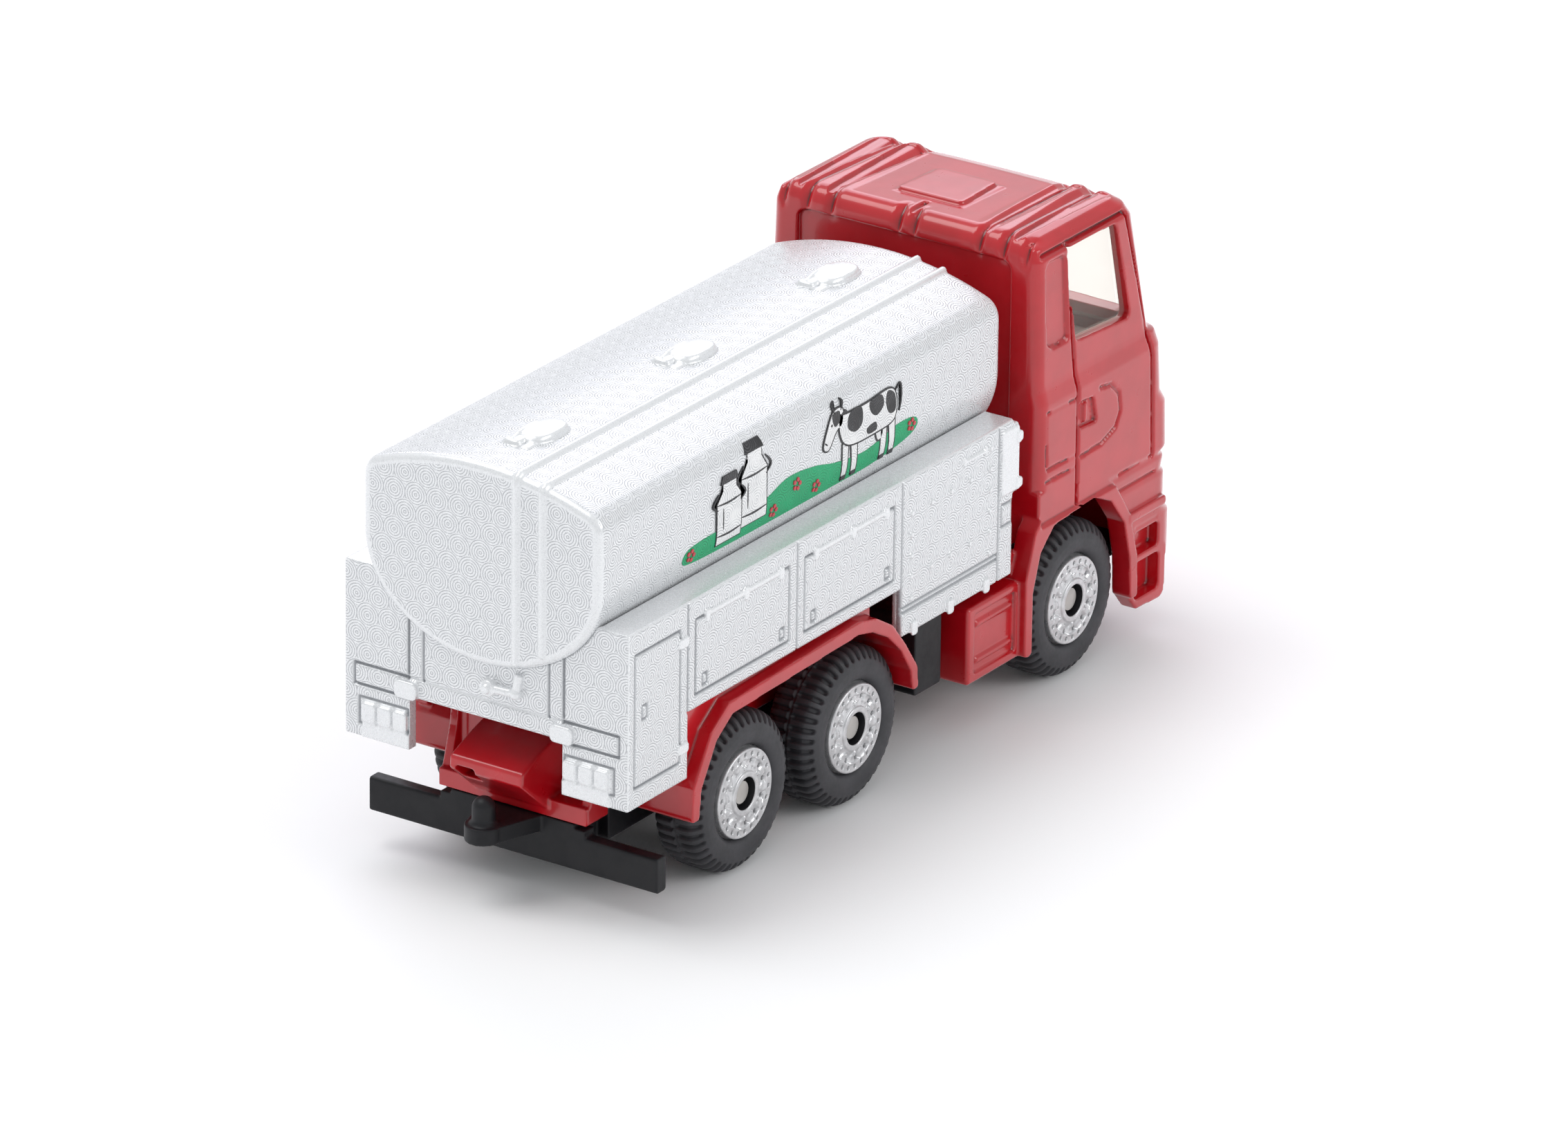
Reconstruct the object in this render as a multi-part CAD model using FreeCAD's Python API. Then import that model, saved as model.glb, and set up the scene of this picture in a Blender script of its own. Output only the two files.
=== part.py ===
import FreeCAD, Part
import math
import os

# A small die-cast toy truck with a milk tank: 6 wheels on 3 axles, about 1:88.
# Millimetres.  While it is drawn, x runs forward from the rear face of the locker body, y runs to
# the left and z up from the floor.  export() then moves x so that the origin is the middle of the
# footprint, on the floor.

V = FreeCAD.Vector

# ---- driving dimensions -------------------------------------------------------------------------
HALF_WIDTH = 14.5            # locker body and cab doors, from the centre plane
OVERALL_REAR = -1.85         # rearmost point, the tow tongue
OVERALL_FRONT = 85.4         # foremost point, the bumper
CENTRE_X = (OVERALL_REAR + OVERALL_FRONT) / 2

TYRE_R = 7.14
RIM_R = 4.16
TYRE_OUTER_Y = 13.95
TYRE_INNER_Y = 8.9
AXLE_R = 1.0
AXLE_PLAY = 0.05             # radial running clearance in the base plate
AXLE_END_Y = 13.55
AXLES = {"rear": 18.2, "middle": 34.85, "front": 69.0}

LOCKER_LENGTH = 58.1
LOCKER_TOP = 28.0
LOCKER_BOTTOM = 18.1         # middle lockers, above the rear mudguards
LAMP_BOTTOM = 12.1           # rear lockers and lamp blocks
LAMP_INNER_Y = 7.8
CABINET_BOTTOM = 13.6
WALL = 1.0
SEAM_X = (8.75, 24.9, 40.8, 55.8)     # joints between the lockers along each side
GROOVE = 0.22                # width of an engraved line
GROOVE_DEPTH = 0.16
REAR_PANEL_BOTTOM = 16.9

TANK_REAR, TANK_FRONT = -0.75, 59.4
TANK_HALF = 12.1
TANK_TOP = 40.2
TANK_BELLY_Z = 31.5          # widest level, where the elliptic belly begins
TANK_BELLY = 9.4
TANK_CROWN_DROP = 2.45       # how far the top falls from the crown to the sides
LID_X = (7.6, 29.3, 51.0)

DECK_TOP = 17.0              # top of the chassis deck that the locker body stands on
RAIL_Y = (6.2, 7.5)
TRAY_TOP = 9.15
TRAY_BOTTOM = 4.9
TRAY_HALF = 7.4
TOW_PIN_X = -0.2
PIN_R = 1.02
RIVET_X = (26.5, 56.0)
RIVET_HOLE_R = 0.93
RIVET_HEAD_R = 1.8
RIVET_HEAD = 0.45

CAB_REAR = 62.2
CAB_WALL_Y = 12.9            # inner face of the cab sides
# level, front of the cab, half width, front corner radius
CAB_LEVELS = (
    (6.9, 85.0, 14.5, 2.6), (7.5, OVERALL_FRONT, 14.5, 2.6), (10.9, OVERALL_FRONT, 14.5, 2.6),
    (11.6, 84.4, 14.5, 2.4), (14.8, 84.4, 14.5, 2.4), (15.2, 83.9, 14.4, 2.2),
    (16.4, 84.1, 14.5, 2.2), (16.8, 83.4, 14.4, 2.0), (17.3, 84.3, 14.5, 2.0),
    (21.6, 84.1, 14.5, 2.0), (22.8, 83.2, 14.5, 2.0), (27.4, 82.8, 14.5, 2.0),
    (28.7, 82.5, 14.2, 2.0), (29.2, 81.3, 14.15, 2.0), (40.6, 78.7, 13.85, 2.0),
    (41.7, 78.1, 13.4, 1.9), (42.3, 77.3, 12.6, 1.8), (42.6, 76.0, 11.5, 1.5))
ROOF_Z = CAB_LEVELS[-1][0]

MUDGUARD_Y = 14.9            # outer face of every mudguard lip
SIDE_WINDOW = ((66.9, 40.7), (74.7, 40.6), (77.0, 31.2), (68.3, 31.8))
WINDSCREEN_LOW, WINDSCREEN_HIGH = 30.4, 40.4


# ---- drawing helpers ----------------------------------------------------------------------------
def block(x0, x1, y0, y1, z0, z1):
    return Part.makeBox(x1 - x0, y1 - y0, z1 - z0, V(x0, y0, z0))


def rod(x, z, radius, y0, y1):
    return Part.makeCylinder(radius, y1 - y0, V(x, y0, z), V(0, 1, 0))


def outline(points, radius):
    """A closed wire through the points, with every corner rounded where it fits."""
    count = len(points)
    starts, edges = [], []
    for i, corner in enumerate(points):
        before, after = points[i - 1], points[(i + 1) % count]
        a, b = (before - corner), (after - corner)
        half = a.getAngle(b) / 2
        reach = min(radius / math.tan(half), 0.45 * a.Length, 0.45 * b.Length)
        if reach < 0.01:
            starts.append((corner, None, corner))
            continue
        bisector = (V(a).normalize() + V(b).normalize()).normalize()
        r = reach * math.tan(half)
        middle = corner + bisector * (r / math.sin(half) - r)
        starts.append((corner + V(a).normalize() * reach, middle, corner + V(b).normalize() * reach))
    for i, (first, middle, last) in enumerate(starts):
        if middle is not None:
            edges.append(Part.Arc(first, middle, last).toShape())
        edges.append(Part.makeLine(last, starts[(i + 1) % count][0]))
    return Part.Wire(edges)


def plate_xz(points, y0, y1, radius=0.0):
    wire = outline([V(x, y0, z) for x, z in points], radius)
    return Part.Face(wire).extrude(V(0, y1 - y0, 0))


def plate_yz(points, x0, x1, radius=0.0):
    wire = outline([V(x0, y, z) for y, z in points], radius)
    return Part.Face(wire).extrude(V(x1 - x0, 0, 0))


def plate_xy(points, z0, z1, radius=0.0):
    wire = outline([V(x, y, z0) for x, y in points], radius)
    return Part.Face(wire).extrude(V(0, 0, z1 - z0))


def slab(x0, x1, y0, y1, z0, z1, radius):
    """A block whose edges along y are rounded."""
    return plate_xz([(x0, z0), (x1, z0), (x1, z1), (x0, z1)], y0, y1, radius)


def mirrored(shape):
    return shape.mirror(V(0, 0, 0), V(0, 1, 0))


def both(shapes):
    """The shapes on the right and their mirror images on the left."""
    return list(shapes) + [mirrored(s) for s in shapes]


def joined(shapes):
    return shapes[0].multiFuse(shapes[1:]).removeSplitter()


def less(shape, tools):
    return shape.cut(Part.makeCompound(tools))


def rounded(shape, radius, wanted):
    """Fillet the edges that wanted(edge) picks."""
    return shape.makeFillet(radius, [e for e in shape.Edges if wanted(e)])


def band(path, width):
    """Outline points of a stripe of the given width along an open path of (a, b) points."""
    left, right = [], []
    for i, (a, b) in enumerate(path):
        pa, pb = path[max(i - 1, 0)], path[min(i + 1, len(path) - 1)]
        da, db = pb[0] - pa[0], pb[1] - pa[1]
        size = math.hypot(da, db)
        left.append((a - db / size * width / 2, b + da / size * width / 2))
        right.append((a + db / size * width / 2, b - da / size * width / 2))
    return left + right[::-1]


def export(name, shape):
    solid = shape.copy()
    solid.translate(V(-CENTRE_X, 0, 0))
    if not solid.isValid() or len(solid.Solids) < 1:
        raise ValueError(name + " is not a valid solid")
    solid.exportStep("parts/" + name + ".step")
    box = solid.optimalBoundingBox(False)
    print("%-20s solids %d  volume %8.1f" % (name, len(solid.Solids), solid.Volume), end="")
    print("  x %6.2f %6.2f  y %6.2f %6.2f" % (box.XMin, box.XMax, box.YMin, box.YMax), end="")
    print("  z %5.2f %5.2f" % (box.ZMin, box.ZMax))


# ---- tank ---------------------------------------------------------------------------------------
def tank_section(x, grow):
    """Closed cross-section at x: elliptic belly, upright sides and a low crown."""
    half, mid = TANK_HALF + grow, TANK_BELLY_Z
    side_top = TANK_TOP + grow - TANK_CROWN_DROP
    belly = Part.Ellipse(V(x, half, mid), V(x, 0, mid - TANK_BELLY - grow), V(x, 0, mid))
    edges = [
        Part.ArcOfEllipse(belly, 0, math.pi).toShape(),
        Part.makeLine(V(x, -half, mid), V(x, -half, side_top)),
        Part.Arc(V(x, -half, side_top), V(x, 0, TANK_TOP + grow), V(x, half, side_top)).toShape(),
        Part.makeLine(V(x, half, side_top), V(x, half, mid))]
    return Part.Wire(Part.__sortEdges__(edges))


def tank_block(grow, x0, x1, shoulder):
    solid = Part.Face(tank_section(x0, grow)).extrude(V(x1 - x0, 0, 0))
    top = TANK_TOP + grow - TANK_CROWN_DROP

    def along_shoulder(edge):
        middle = edge.CenterOfMass
        return abs(middle.z - top) < 0.01 and abs(abs(middle.y) - TANK_HALF - grow) < 0.01
    return rounded(solid, shoulder, along_shoulder)


def tank_lid(x):
    """Oval domed cover with its hinge block and lever, standing on the crown."""
    y, seat, top = -0.5, TANK_TOP - 0.4, TANK_TOP + 0.75
    cover = plate_xy([(x - 2.5, y - 1.5), (x + 2.5, y - 1.5), (x + 2.5, y + 1.5), (x - 2.5, y + 1.5)],
                     seat, top, 1.35)
    cover = rounded(cover, 0.3, lambda e: abs(e.CenterOfMass.z - top) < 0.01)
    hinge = block(x - 3.6, x - 2.4, y + 0.5, y + 1.9, seat, top - 0.25)
    lever = block(x - 3.2, x + 2.2, y + 1.15, y + 1.5, seat, top - 0.1)
    return joined([cover, hinge, lever])


def tank_shell():
    outer = tank_block(0, TANK_REAR, TANK_FRONT, 2.0)

    def end_edge(edge):
        x = edge.CenterOfMass.x
        return abs(x - TANK_REAR) < 0.01 or abs(x - TANK_FRONT) < 0.01
    outer = rounded(outer, 0.6, end_edge)
    hollow = tank_block(-1.2, TANK_REAR + 1.2, TANK_FRONT - 1.2, 1.0)
    mouth = block(TANK_REAR + 4, TANK_FRONT - 4, -5.5, 5.5, TANK_BELLY_Z - TANK_BELLY - 1, TANK_BELLY_Z)
    rib_height = 0.35
    ribs = []
    for y, low in ((-3.6, 23.2), (-6.25, 24.6)):
        strip = block(TANK_REAR - 1, TANK_FRONT, y - 0.3, y + 0.3, low, TANK_TOP + 1)
        around = tank_block(rib_height, TANK_REAR - rib_height, TANK_FRONT - 0.3, 2.0)
        ribs.append(around.common(strip).cut(outer))
    solid = joined([outer] + ribs + [tank_lid(x) for x in LID_X])
    return less(solid, [hollow, mouth])


# ---- locker body --------------------------------------------------------------------------------
def frame_line(x0, x1, z0, z1, y_face, width=GROOVE):
    """An engraved rectangle on the side face, as a ring-shaped cutter."""
    y0, y1 = y_face, y_face + GROOVE_DEPTH
    outer = slab(x0, x1, y0, y1, z0, z1, 0.3)
    return outer.cut(slab(x0 + width, x1 - width, y0, y1, z0 + width, z1 - width, 0.2))


def rear_frame_line(y0, y1, z0, z1):
    outer = block(0, GROOVE_DEPTH, y0, y1, z0, z1)
    return outer.cut(block(0, GROOVE_DEPTH, y0 + GROOVE, y1 - GROOVE, z0 + GROOVE, z1 - GROOVE))


def upright_line(x, z0, z1):
    return block(x - GROOVE / 2, x + GROOVE / 2, -HALF_WIDTH, -HALF_WIDTH + GROOVE_DEPTH, z0, z1)


def middle_locker(x0, x1):
    """Cutters and raised pieces of one middle locker door between two seams."""
    face = -HALF_WIDTH
    cuts = [frame_line(x0 + 1.0, x1 - 1.1, 19.2, 26.2, face)]
    raised = [block(x0 + 2.3, x1 - 2.2, face - 0.14, face, 25.95, 26.35)]
    for x in (x0 + 2.3, (x0 + x1) / 2, x1 - 2.9):
        raised.append(slab(x, x + 0.6, face - 0.2, face, 25.5, 26.6, 0.15))
    for x in (x0 + 2.1, x1 - 2.6):
        cuts.append(frame_line(x, x + 0.8, 19.75, 20.9, face, 0.15))
    return cuts, raised


def rear_door():
    face = -HALF_WIDTH
    cuts = [frame_line(0.9, 7.7, 13.8, 26.0, face), frame_line(2.0, 2.9, 19.7, 21.1, face, 0.15)]
    raised = [slab(7.2, 8.6, face - 0.2, face, z, z + 0.9, 0.2) for z in (14.7, 24.3)]
    return cuts, raised


def front_cabinet():
    face = -HALF_WIDTH
    cuts = [block(SEAM_X[2], SEAM_X[3], face, face + GROOVE_DEPTH, z, z + GROOVE) for z in (15.65, 16.05)]
    raised = [slab(x, x + 0.9, face - 0.25, face, 13.3, 14.6, 0.2) for x in (42.2, 47.8, 53.4)]
    for z in (16.85, 18.85, 20.75, 22.7, 24.7, 26.6):
        raised += [rod(x, z, 0.24, face - 0.2, face) for x in (42.15, 54.3)]
    for z in (18.8, 24.7):
        raised += [rod(x, z, 0.24, face - 0.2, face) for x in (45.2, 48.2, 51.2)]
    raised.append(slab(50.0, 53.6, face - 0.2, face, 26.5, 26.8, 0.12))
    raised += [block(x, x + 0.35, face - 0.2, face, 26.3, 27.1) for x in (50.0, 53.3)]
    return cuts, raised


def front_strip():
    """The narrow column beside the cab with its small hatch and hinges."""
    face = -HALF_WIDTH
    cuts = [frame_line(56.2, 58.0, 18.4, 20.6, face, 0.15), frame_line(56.6, 57.4, 23.5, 24.7, face, 0.12)]
    raised = [slab(56.1, 58.7, face - 0.18, face, 21.4, 27.4, 0.3)]
    raised += [slab(58.2, 59.1, face - 0.3, face + 1.2, z, z + 1.0, 0.25) for z in (21.5, 25.8)]
    raised.append(block(57.6, 58.7, face, face + 1.0, 21.2, 27.6))
    return cuts, raised


def side_details():
    cuts = [upright_line(x, LOCKER_BOTTOM, LOCKER_TOP) for x in SEAM_X[:2]]
    cuts += [upright_line(x, CABINET_BOTTOM, LOCKER_TOP) for x in SEAM_X[2:]]
    raised = []
    for more_cuts, more_raised in (rear_door(), middle_locker(SEAM_X[0], SEAM_X[1]),
                                   middle_locker(SEAM_X[1], SEAM_X[2]), front_cabinet(), front_strip()):
        cuts += more_cuts
        raised += more_raised
    return cuts, raised


def rear_details():
    """Lamp lenses, plates and buffers, drawn for the right-hand side, and the valve."""
    cuts, raised = [], []
    for i in range(3):
        y = -12.6 + 1.6 * i
        raised.append(plate_yz([(y, 13.65), (y + 1.4, 13.65), (y + 1.4, 15.35), (y, 15.35)], -0.3, 0, 0.25))
    raised.append(block(-0.12, 0, -12.6, -LAMP_INNER_Y, LAMP_BOTTOM, 13.45))
    raised.append(plate_yz([(-9.1, 16.85), (-6.8, 16.85), (-6.8, 18.45), (-9.1, 18.45)], -0.5, 0, 0.5))
    cuts.append(block(0, GROOVE_DEPTH, -LAMP_INNER_Y - GROOVE, -LAMP_INNER_Y, 19.0, LOCKER_TOP - 2))
    return cuts, raised


def drain_valve():
    cap = Part.makeCylinder(0.75, 0.7, V(-0.7, -0.55, 20.05), V(1, 0, 0))
    knob = Part.makeCylinder(0.4, 0.35, V(-1.0, -0.55, 20.05), V(1, 0, 0))
    pipe = Part.makeCylinder(0.38, 2.7, V(-0.35, -0.7, 20.05), V(0, -1, 0.05))
    elbow = Part.makeSphere(0.55, V(-0.35, -3.35, 20.2))
    riser = Part.makeCylinder(0.42, 1.75, V(-0.35, -3.35, 20.2), V(0.12, -0.15, 1))
    return [cap, knob, pipe, elbow, riser]


def locker_body():
    outer = [block(0, LOCKER_LENGTH, -HALF_WIDTH, HALF_WIDTH, LOCKER_BOTTOM, LOCKER_TOP),
             block(0, WALL, -LAMP_INNER_Y - 1, LAMP_INNER_Y + 1, REAR_PANEL_BOTTOM, LOCKER_BOTTOM)]
    outer += both([block(0, SEAM_X[0], -HALF_WIDTH, -LAMP_INNER_Y, LAMP_BOTTOM, LOCKER_BOTTOM),
                   block(SEAM_X[2], LOCKER_LENGTH, -HALF_WIDTH, -HALF_WIDTH + 2,
                         CABINET_BOTTOM, LOCKER_BOTTOM)])
    solid = joined(outer)

    def outside_edge(edge):
        middle = edge.CenterOfMass
        at_side = abs(abs(middle.y) - HALF_WIDTH) < 0.01
        at_end = abs(middle.x) < 0.01 or abs(middle.x - LOCKER_LENGTH) < 0.01
        return at_side and (at_end or abs(middle.z - LOCKER_TOP) < 0.01)
    solid = rounded(solid, 0.3, outside_edge)
    inner = HALF_WIDTH - WALL
    hollow = [block(WALL, LOCKER_LENGTH - WALL, -inner, inner, 5, LOCKER_TOP - WALL)]
    hollow.append(tank_block(0, TANK_REAR - 1, TANK_FRONT + 1, 2.0))
    solid = less(solid, hollow)
    side_cuts, side_raised = side_details()
    rear_cuts, rear_raised = rear_details()
    cuts = both(side_cuts + rear_cuts) + [rear_frame_line(-13.55, 13.55, 16.7, 18.8)]
    bulkhead = [(-inner, 18.3), (-inner, LOCKER_TOP - WALL), (inner, LOCKER_TOP - WALL), (inner, 18.3),
                (12.0, 18.3), (12.0, DECK_TOP), (-12.0, DECK_TOP), (-12.0, 18.3)]
    saddles = [plate_yz(bulkhead, x, x + 1.2) for x in (12.0, 46.0)]
    saddles = [less(s, [tank_block(0, TANK_REAR - 1, TANK_FRONT + 1, 2.0)]) for s in saddles]
    solid = less(solid, cuts)
    valve = less(joined(drain_valve()), [tank_block(0.02, TANK_REAR, TANK_FRONT, 2.0)])
    return joined([solid, valve] + saddles + both(side_raised + rear_raised))


# ---- cab and chassis casting --------------------------------------------------------------------
def cab_level(z, front, half, corner, inset):
    """Plan outline of the cab at one level: square behind, round corners and a bowed face in front."""
    front, half = front - inset, half - inset
    bow, r = 0.35, corner
    rear = CAB_REAR + inset
    s = r * (1 - math.cos(math.pi / 4))
    p = [V(rear, -half, z), V(front - bow - r, -half, z), V(front - bow - s, -half + s, z),
         V(front - bow, -half + r, z), V(front, 0, z), V(front - bow, half - r, z),
         V(front - bow - s, half - s, z), V(front - bow - r, half, z), V(rear, half, z)]
    return Part.Wire([Part.makeLine(p[0], p[1]), Part.Arc(p[1], p[2], p[3]).toShape(),
                      Part.Arc(p[3], p[4], p[5]).toShape(), Part.Arc(p[5], p[6], p[7]).toShape(),
                      Part.makeLine(p[7], p[8]), Part.makeLine(p[8], p[0])])


def cab_form(inset):
    wires = [cab_level(z, front, half, corner, inset) for z, front, half, corner in CAB_LEVELS]
    return Part.makeLoft(wires, True, True)


def cab_side_lines():
    """Cutters through the right-hand side, to be limited to the skin."""
    def engraved(path, width=0.32):
        return plate_xz(band(path, width), -16, -11)
    seams = [engraved([(67.2, 41.2), (67.7, 32.6), (68.0, 29.4), (68.2, 27.2), (68.3, 16.6)]),
             engraved([(76.3, 41.0), (79.4, 30.2), (79.6, 28.6), (80.1, 26.6), (80.5, 17.1)]),
             engraved([(62.9, 41.0), (76.1, 41.15)], 0.4)]
    panel_lines = [engraved([(62.2, 20.3), (68.1, 20.2)], 0.28), engraved([(75.0, 17.0), (80.4, 17.1)], 0.28),
                   engraved([(74.9, 15.4), (81.2, 15.4)], 0.28),
                   engraved([(63.2, 26.75), (68.2, 26.6)], 0.25),
                   engraved([(63.2, 26.75), (63.3, 21.4)], 0.25),
                   engraved([(63.3, 21.4), (68.2, 21.3)], 0.3)]
    bow = [(71.6, 26.4), (73.5, 26.1), (74.8, 24.9), (75.1, 23.2), (74.3, 21.8), (72.0, 21.0), (68.6, 20.9)]
    return seams, panel_lines + [engraved(bow, 0.35)]


def side_recesses():
    post = plate_xz([(63.7, 32.6), (66.5, 32.0), (66.2, 40.2), (63.5, 40.2)], -16, -11, 0.8)
    handle = plate_xz([(68.5, 23.6), (71.3, 23.4), (70.7, 25.9), (68.5, 26.1)], -16, -11, 0.3)
    return [post, handle]


FRONT_ARCH_IN = ((61.0, 3.0), (61.0, 10.8), (62.1, 14.2), (64.2, 16.1), (70.6, 16.5), (73.3, 15.3),
                 (75.6, 12.4), (76.6, 8.6), (76.9, 3.0))
FRONT_ARCH_OUT = ((59.8, 5.0), (59.8, 12.2), (61.2, 16.3), (63.4, 18.4), (70.9, 18.5), (74.0, 16.6),
                  (76.6, 12.9), (77.8, 8.7), (78.0, 4.7), (76.8, 4.7), (76.6, 8.6), (75.6, 12.4),
                  (73.3, 15.3), (70.6, 16.5), (64.2, 16.1), (62.1, 14.2), (61.0, 10.8), (61.0, 5.0))
REAR_ARCH_OUT = ((8.9, 7.9), (9.1, 11.0), (11.6, 15.2), (14.4, 17.1), (33.9, 17.6), (36.5, 17.0),
                 (39.0, 15.5), (41.0, 13.1), (42.9, 10.4), (43.1, 8.3), (42.2, 8.3), (41.9, 10.2),
                 (40.3, 12.7), (38.3, 14.6), (35.9, 15.9), (33.8, 16.4), (14.8, 15.9), (12.5, 14.3),
                 (10.3, 10.6), (10.0, 7.9))
REAR_PANEL = ((8.9, 12.0), (8.9, 18.0), (37.5, 18.0), (37.5, 15.1), (35.9, 15.9), (33.8, 16.4),
              (14.8, 15.9), (12.5, 14.3), (10.3, 10.6))


def roof_form():
    """Raised roof hatch, and cutters for the flutes that run back to the scalloped rear edge."""
    hatch = plate_xy([(66.2, -3.4), (72.4, -3.0), (72.4, 3.0), (66.2, 3.4)], ROOF_Z - 0.3, ROOF_Z + 0.32, 0.5)
    flutes = []
    for y in (8.2, 11.2):
        flutes.append(plate_xy([(60, y - 0.2), (76.5, y - 0.85), (76.5, y + 0.85), (60, y + 0.2)],
                               ROOF_Z - 0.4, ROOF_Z + 1))
    flutes = both(flutes)
    flutes.append(block(60, 65.4, -0.6, -0.1, ROOF_Z - 0.35, ROOF_Z + 1))
    return hatch, flutes


def steps():
    """Entry step below the right-hand bumper corner, and the cutters of its two treads."""
    body = plate_xz([(76.9, 4.9), (78.4, 3.1), (82.4, 2.9), (83.0, 3.4), (83.2, 8.0), (76.9, 8.0)],
                    -HALF_WIDTH, -11.8, 0.5)
    ledge = slab(76.4, 82.3, -14.95, -13.5, 12.0, 12.9, 0.3)
    treads = [slab(77.9, 81.8, -16, -13.4, 8.2, 10.4, 0.4), slab(78.1, 82.0, -16, -13.2, 4.0, 7.5, 0.5),
              slab(77.9, 81.6, -16, -14.2, 10.8, 11.1, 0.1)]
    return [body, ledge], treads


def face_details():
    """Grille, lamps and plate recess of the front, as cutters from in front."""
    cuts = [block(83.6, 90, -7.6, 7.6, z, z + 0.7) for z in (17.9, 19.1, 20.3)]
    cuts += [block(83.8, 90, -7.6, 7.6, z, z + 0.6) for z in (12.4, 13.5)]
    cuts += both([plate_yz([(-12.6, 8.0), (-8.6, 8.0), (-8.6, 10.2), (-12.6, 10.2)], 84.7, 90, 0.5)])
    cuts.append(block(85.1, 90, -3.2, 3.2, 8.0, 9.8))
    return cuts


def cab():
    form = cab_form(0)
    hatch, flutes = roof_form()
    seams, lines = cab_side_lines()
    shallow = form.cut(cab_form(0.25))
    deep = form.cut(cab_form(0.4))
    engraving = [s.common(shallow) for s in both(seams + lines)]
    engraving += [s.common(deep) for s in both(side_recesses())]
    cavity = plate_xz([(63.4, 2), (63.4, 40.9), (76.6, 40.9), (79.3, 29.4), (81.0, 28.2),
                       (82.3, 20), (82.3, 2)], -CAB_WALL_Y, CAB_WALL_Y)
    windows = both([plate_xz(SIDE_WINDOW, -16, -11, 0.6)])
    half_low, half_high = 11.9, 11.5
    windows.append(plate_yz([(-half_low, WINDSCREEN_LOW), (half_low, WINDSCREEN_LOW),
                             (half_high, WINDSCREEN_HIGH), (-half_high, WINDSCREEN_HIGH)], 75.5, 84, 0.8))
    arches = both([plate_xz(FRONT_ARCH_IN, -16, -7.6)])
    centre = [block(CAB_REAR - 1, 63.5, -7.7, 7.7, 2, 14.0)]
    rear_recess = plate_yz([(-11.1, 18.6), (11.1, 18.6), (11.1, 40.4), (-11.1, 40.4)],
                           61, CAB_REAR + 0.5, 1.0)
    step_bodies, treads = steps()
    shell = joined([form, hatch] + both(step_bodies))
    shell = less(shell, [cavity, rear_recess] + windows + arches + centre + flutes + engraving)
    shell = less(shell, face_details() + both(treads))
    lip = plate_xz(FRONT_ARCH_OUT, -MUDGUARD_Y, -12.9, 0.4)
    seam = plate_xz(band([(68.3, 19), (68.6, 16)], 0.3), -16, -14.6)
    guard = block(59.8, 61.0, -13.2, -8.6, 5.0, 14.5)
    handle_bar = slab(69.3, 69.8, -14.45, -13.9, 23.9, 25.7, 0.2)
    return joined([shell] + both([lip.cut(seam), guard, handle_bar]))


def chassis():
    deck = [block(6.0, 64.0, -RAIL_Y[1], RAIL_Y[1], 15.4, DECK_TOP),
            block(59.8, 64.0, -11.0, 11.0, 13.6, DECK_TOP)]
    rails = both([block(6.0, 64.0, -RAIL_Y[1], -RAIL_Y[0], TRAY_TOP, DECK_TOP)])
    guards = both([plate_xz(REAR_ARCH_OUT, -MUDGUARD_Y, -RAIL_Y[1], 0.35),
                   plate_xz(REAR_PANEL, -13.5, -12.3)])
    tops = both([block(9.5, 37.5, -13.0, -RAIL_Y[0], 16.5, DECK_TOP)])
    boxes = both([side_box()])
    posts = [Part.makeCylinder(2.1, 7.0, V(x, 0, TRAY_TOP), V(0, 0, 1)) for x in RIVET_X]
    bores = [Part.makeCylinder(RIVET_HOLE_R, 3.0, V(x, 0, TRAY_TOP - 0.1), V(0, 0, 1)) for x in RIVET_X]
    return less(joined(deck + rails + guards + tops + boxes + posts + rear_member()), bores)


def side_box():
    box = block(51.9, 60.3, -14.15, -10.9, 4.95, 12.15)
    box = rounded(box, 0.35, lambda e: True)
    panel = slab(52.9, 59.4, -14.5, -13.85, 5.8, 11.4, 0.3)
    bars = [slab(53.3, 59.0, -14.1, -13.7, z, z + 0.45, 0.15) for z in (6.7, 10.1)]
    arm = block(53.2, 59.4, -11.2, -RAIL_Y[0], 10.4, 12.0)
    return joined([box.cut(panel), arm] + bars)


def rear_member():
    """Rear end of the chassis: flared side webs, bottom flange and the hitch housing."""
    webs = both([plate_xz([(3.9, 7.55), (5.4, 12.6), (6.0, DECK_TOP), (9.2, DECK_TOP), (9.2, 9.25),
                            (7.2, 9.25), (7.2, 7.55)],
                          -7.6, -6.7)])
    flange = block(3.9, 7.2, -7.6, 7.6, 7.55, 9.2)
    wall = block(6.2, 7.2, -7.2, 7.2, 7.55, DECK_TOP)
    housing = plate_xz([(0.1, 12.7), (0.0, 11.6), (3.7, 8.4), (6.5, 8.4), (6.5, 14.9), (3.2, 13.9)],
                       -3.7, 3.7, 0.45)
    pocket = block(-1, 2.6, 1.2, 3.1, 10.5, 11.9)
    return webs + [flange, wall, housing.cut(pocket)]


def cab_chassis_casting():
    return joined([cab(), chassis()])


# ---- cab inserts --------------------------------------------------------------------------------
def window_insert():
    """One clear moulding: roof, windscreen and side panes, with pads that fill the side windows."""
    profile = [(64.4, 29.6), (64.4, 40.8), (76.5, 40.8), (79.15, 29.6)]
    inner = [(64.0, 29.0), (64.0, 40.0), (75.9, 40.0), (78.5, 29.0)]
    hood = plate_xz(profile, -CAB_WALL_Y + 0.05, CAB_WALL_Y - 0.05)
    hood = hood.cut(plate_xz(inner, -CAB_WALL_Y + 0.85, CAB_WALL_Y - 0.85))
    gap = 0.06
    mid_x, mid_z = 71.7, 36.0
    pane = [(x + math.copysign(gap, mid_x - x), z + math.copysign(gap, mid_z - z)) for x, z in SIDE_WINDOW]
    pads = both([plate_xz(pane, -13.55, -CAB_WALL_Y + 0.3, 0.6)])
    return joined([hood] + pads)


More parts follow.
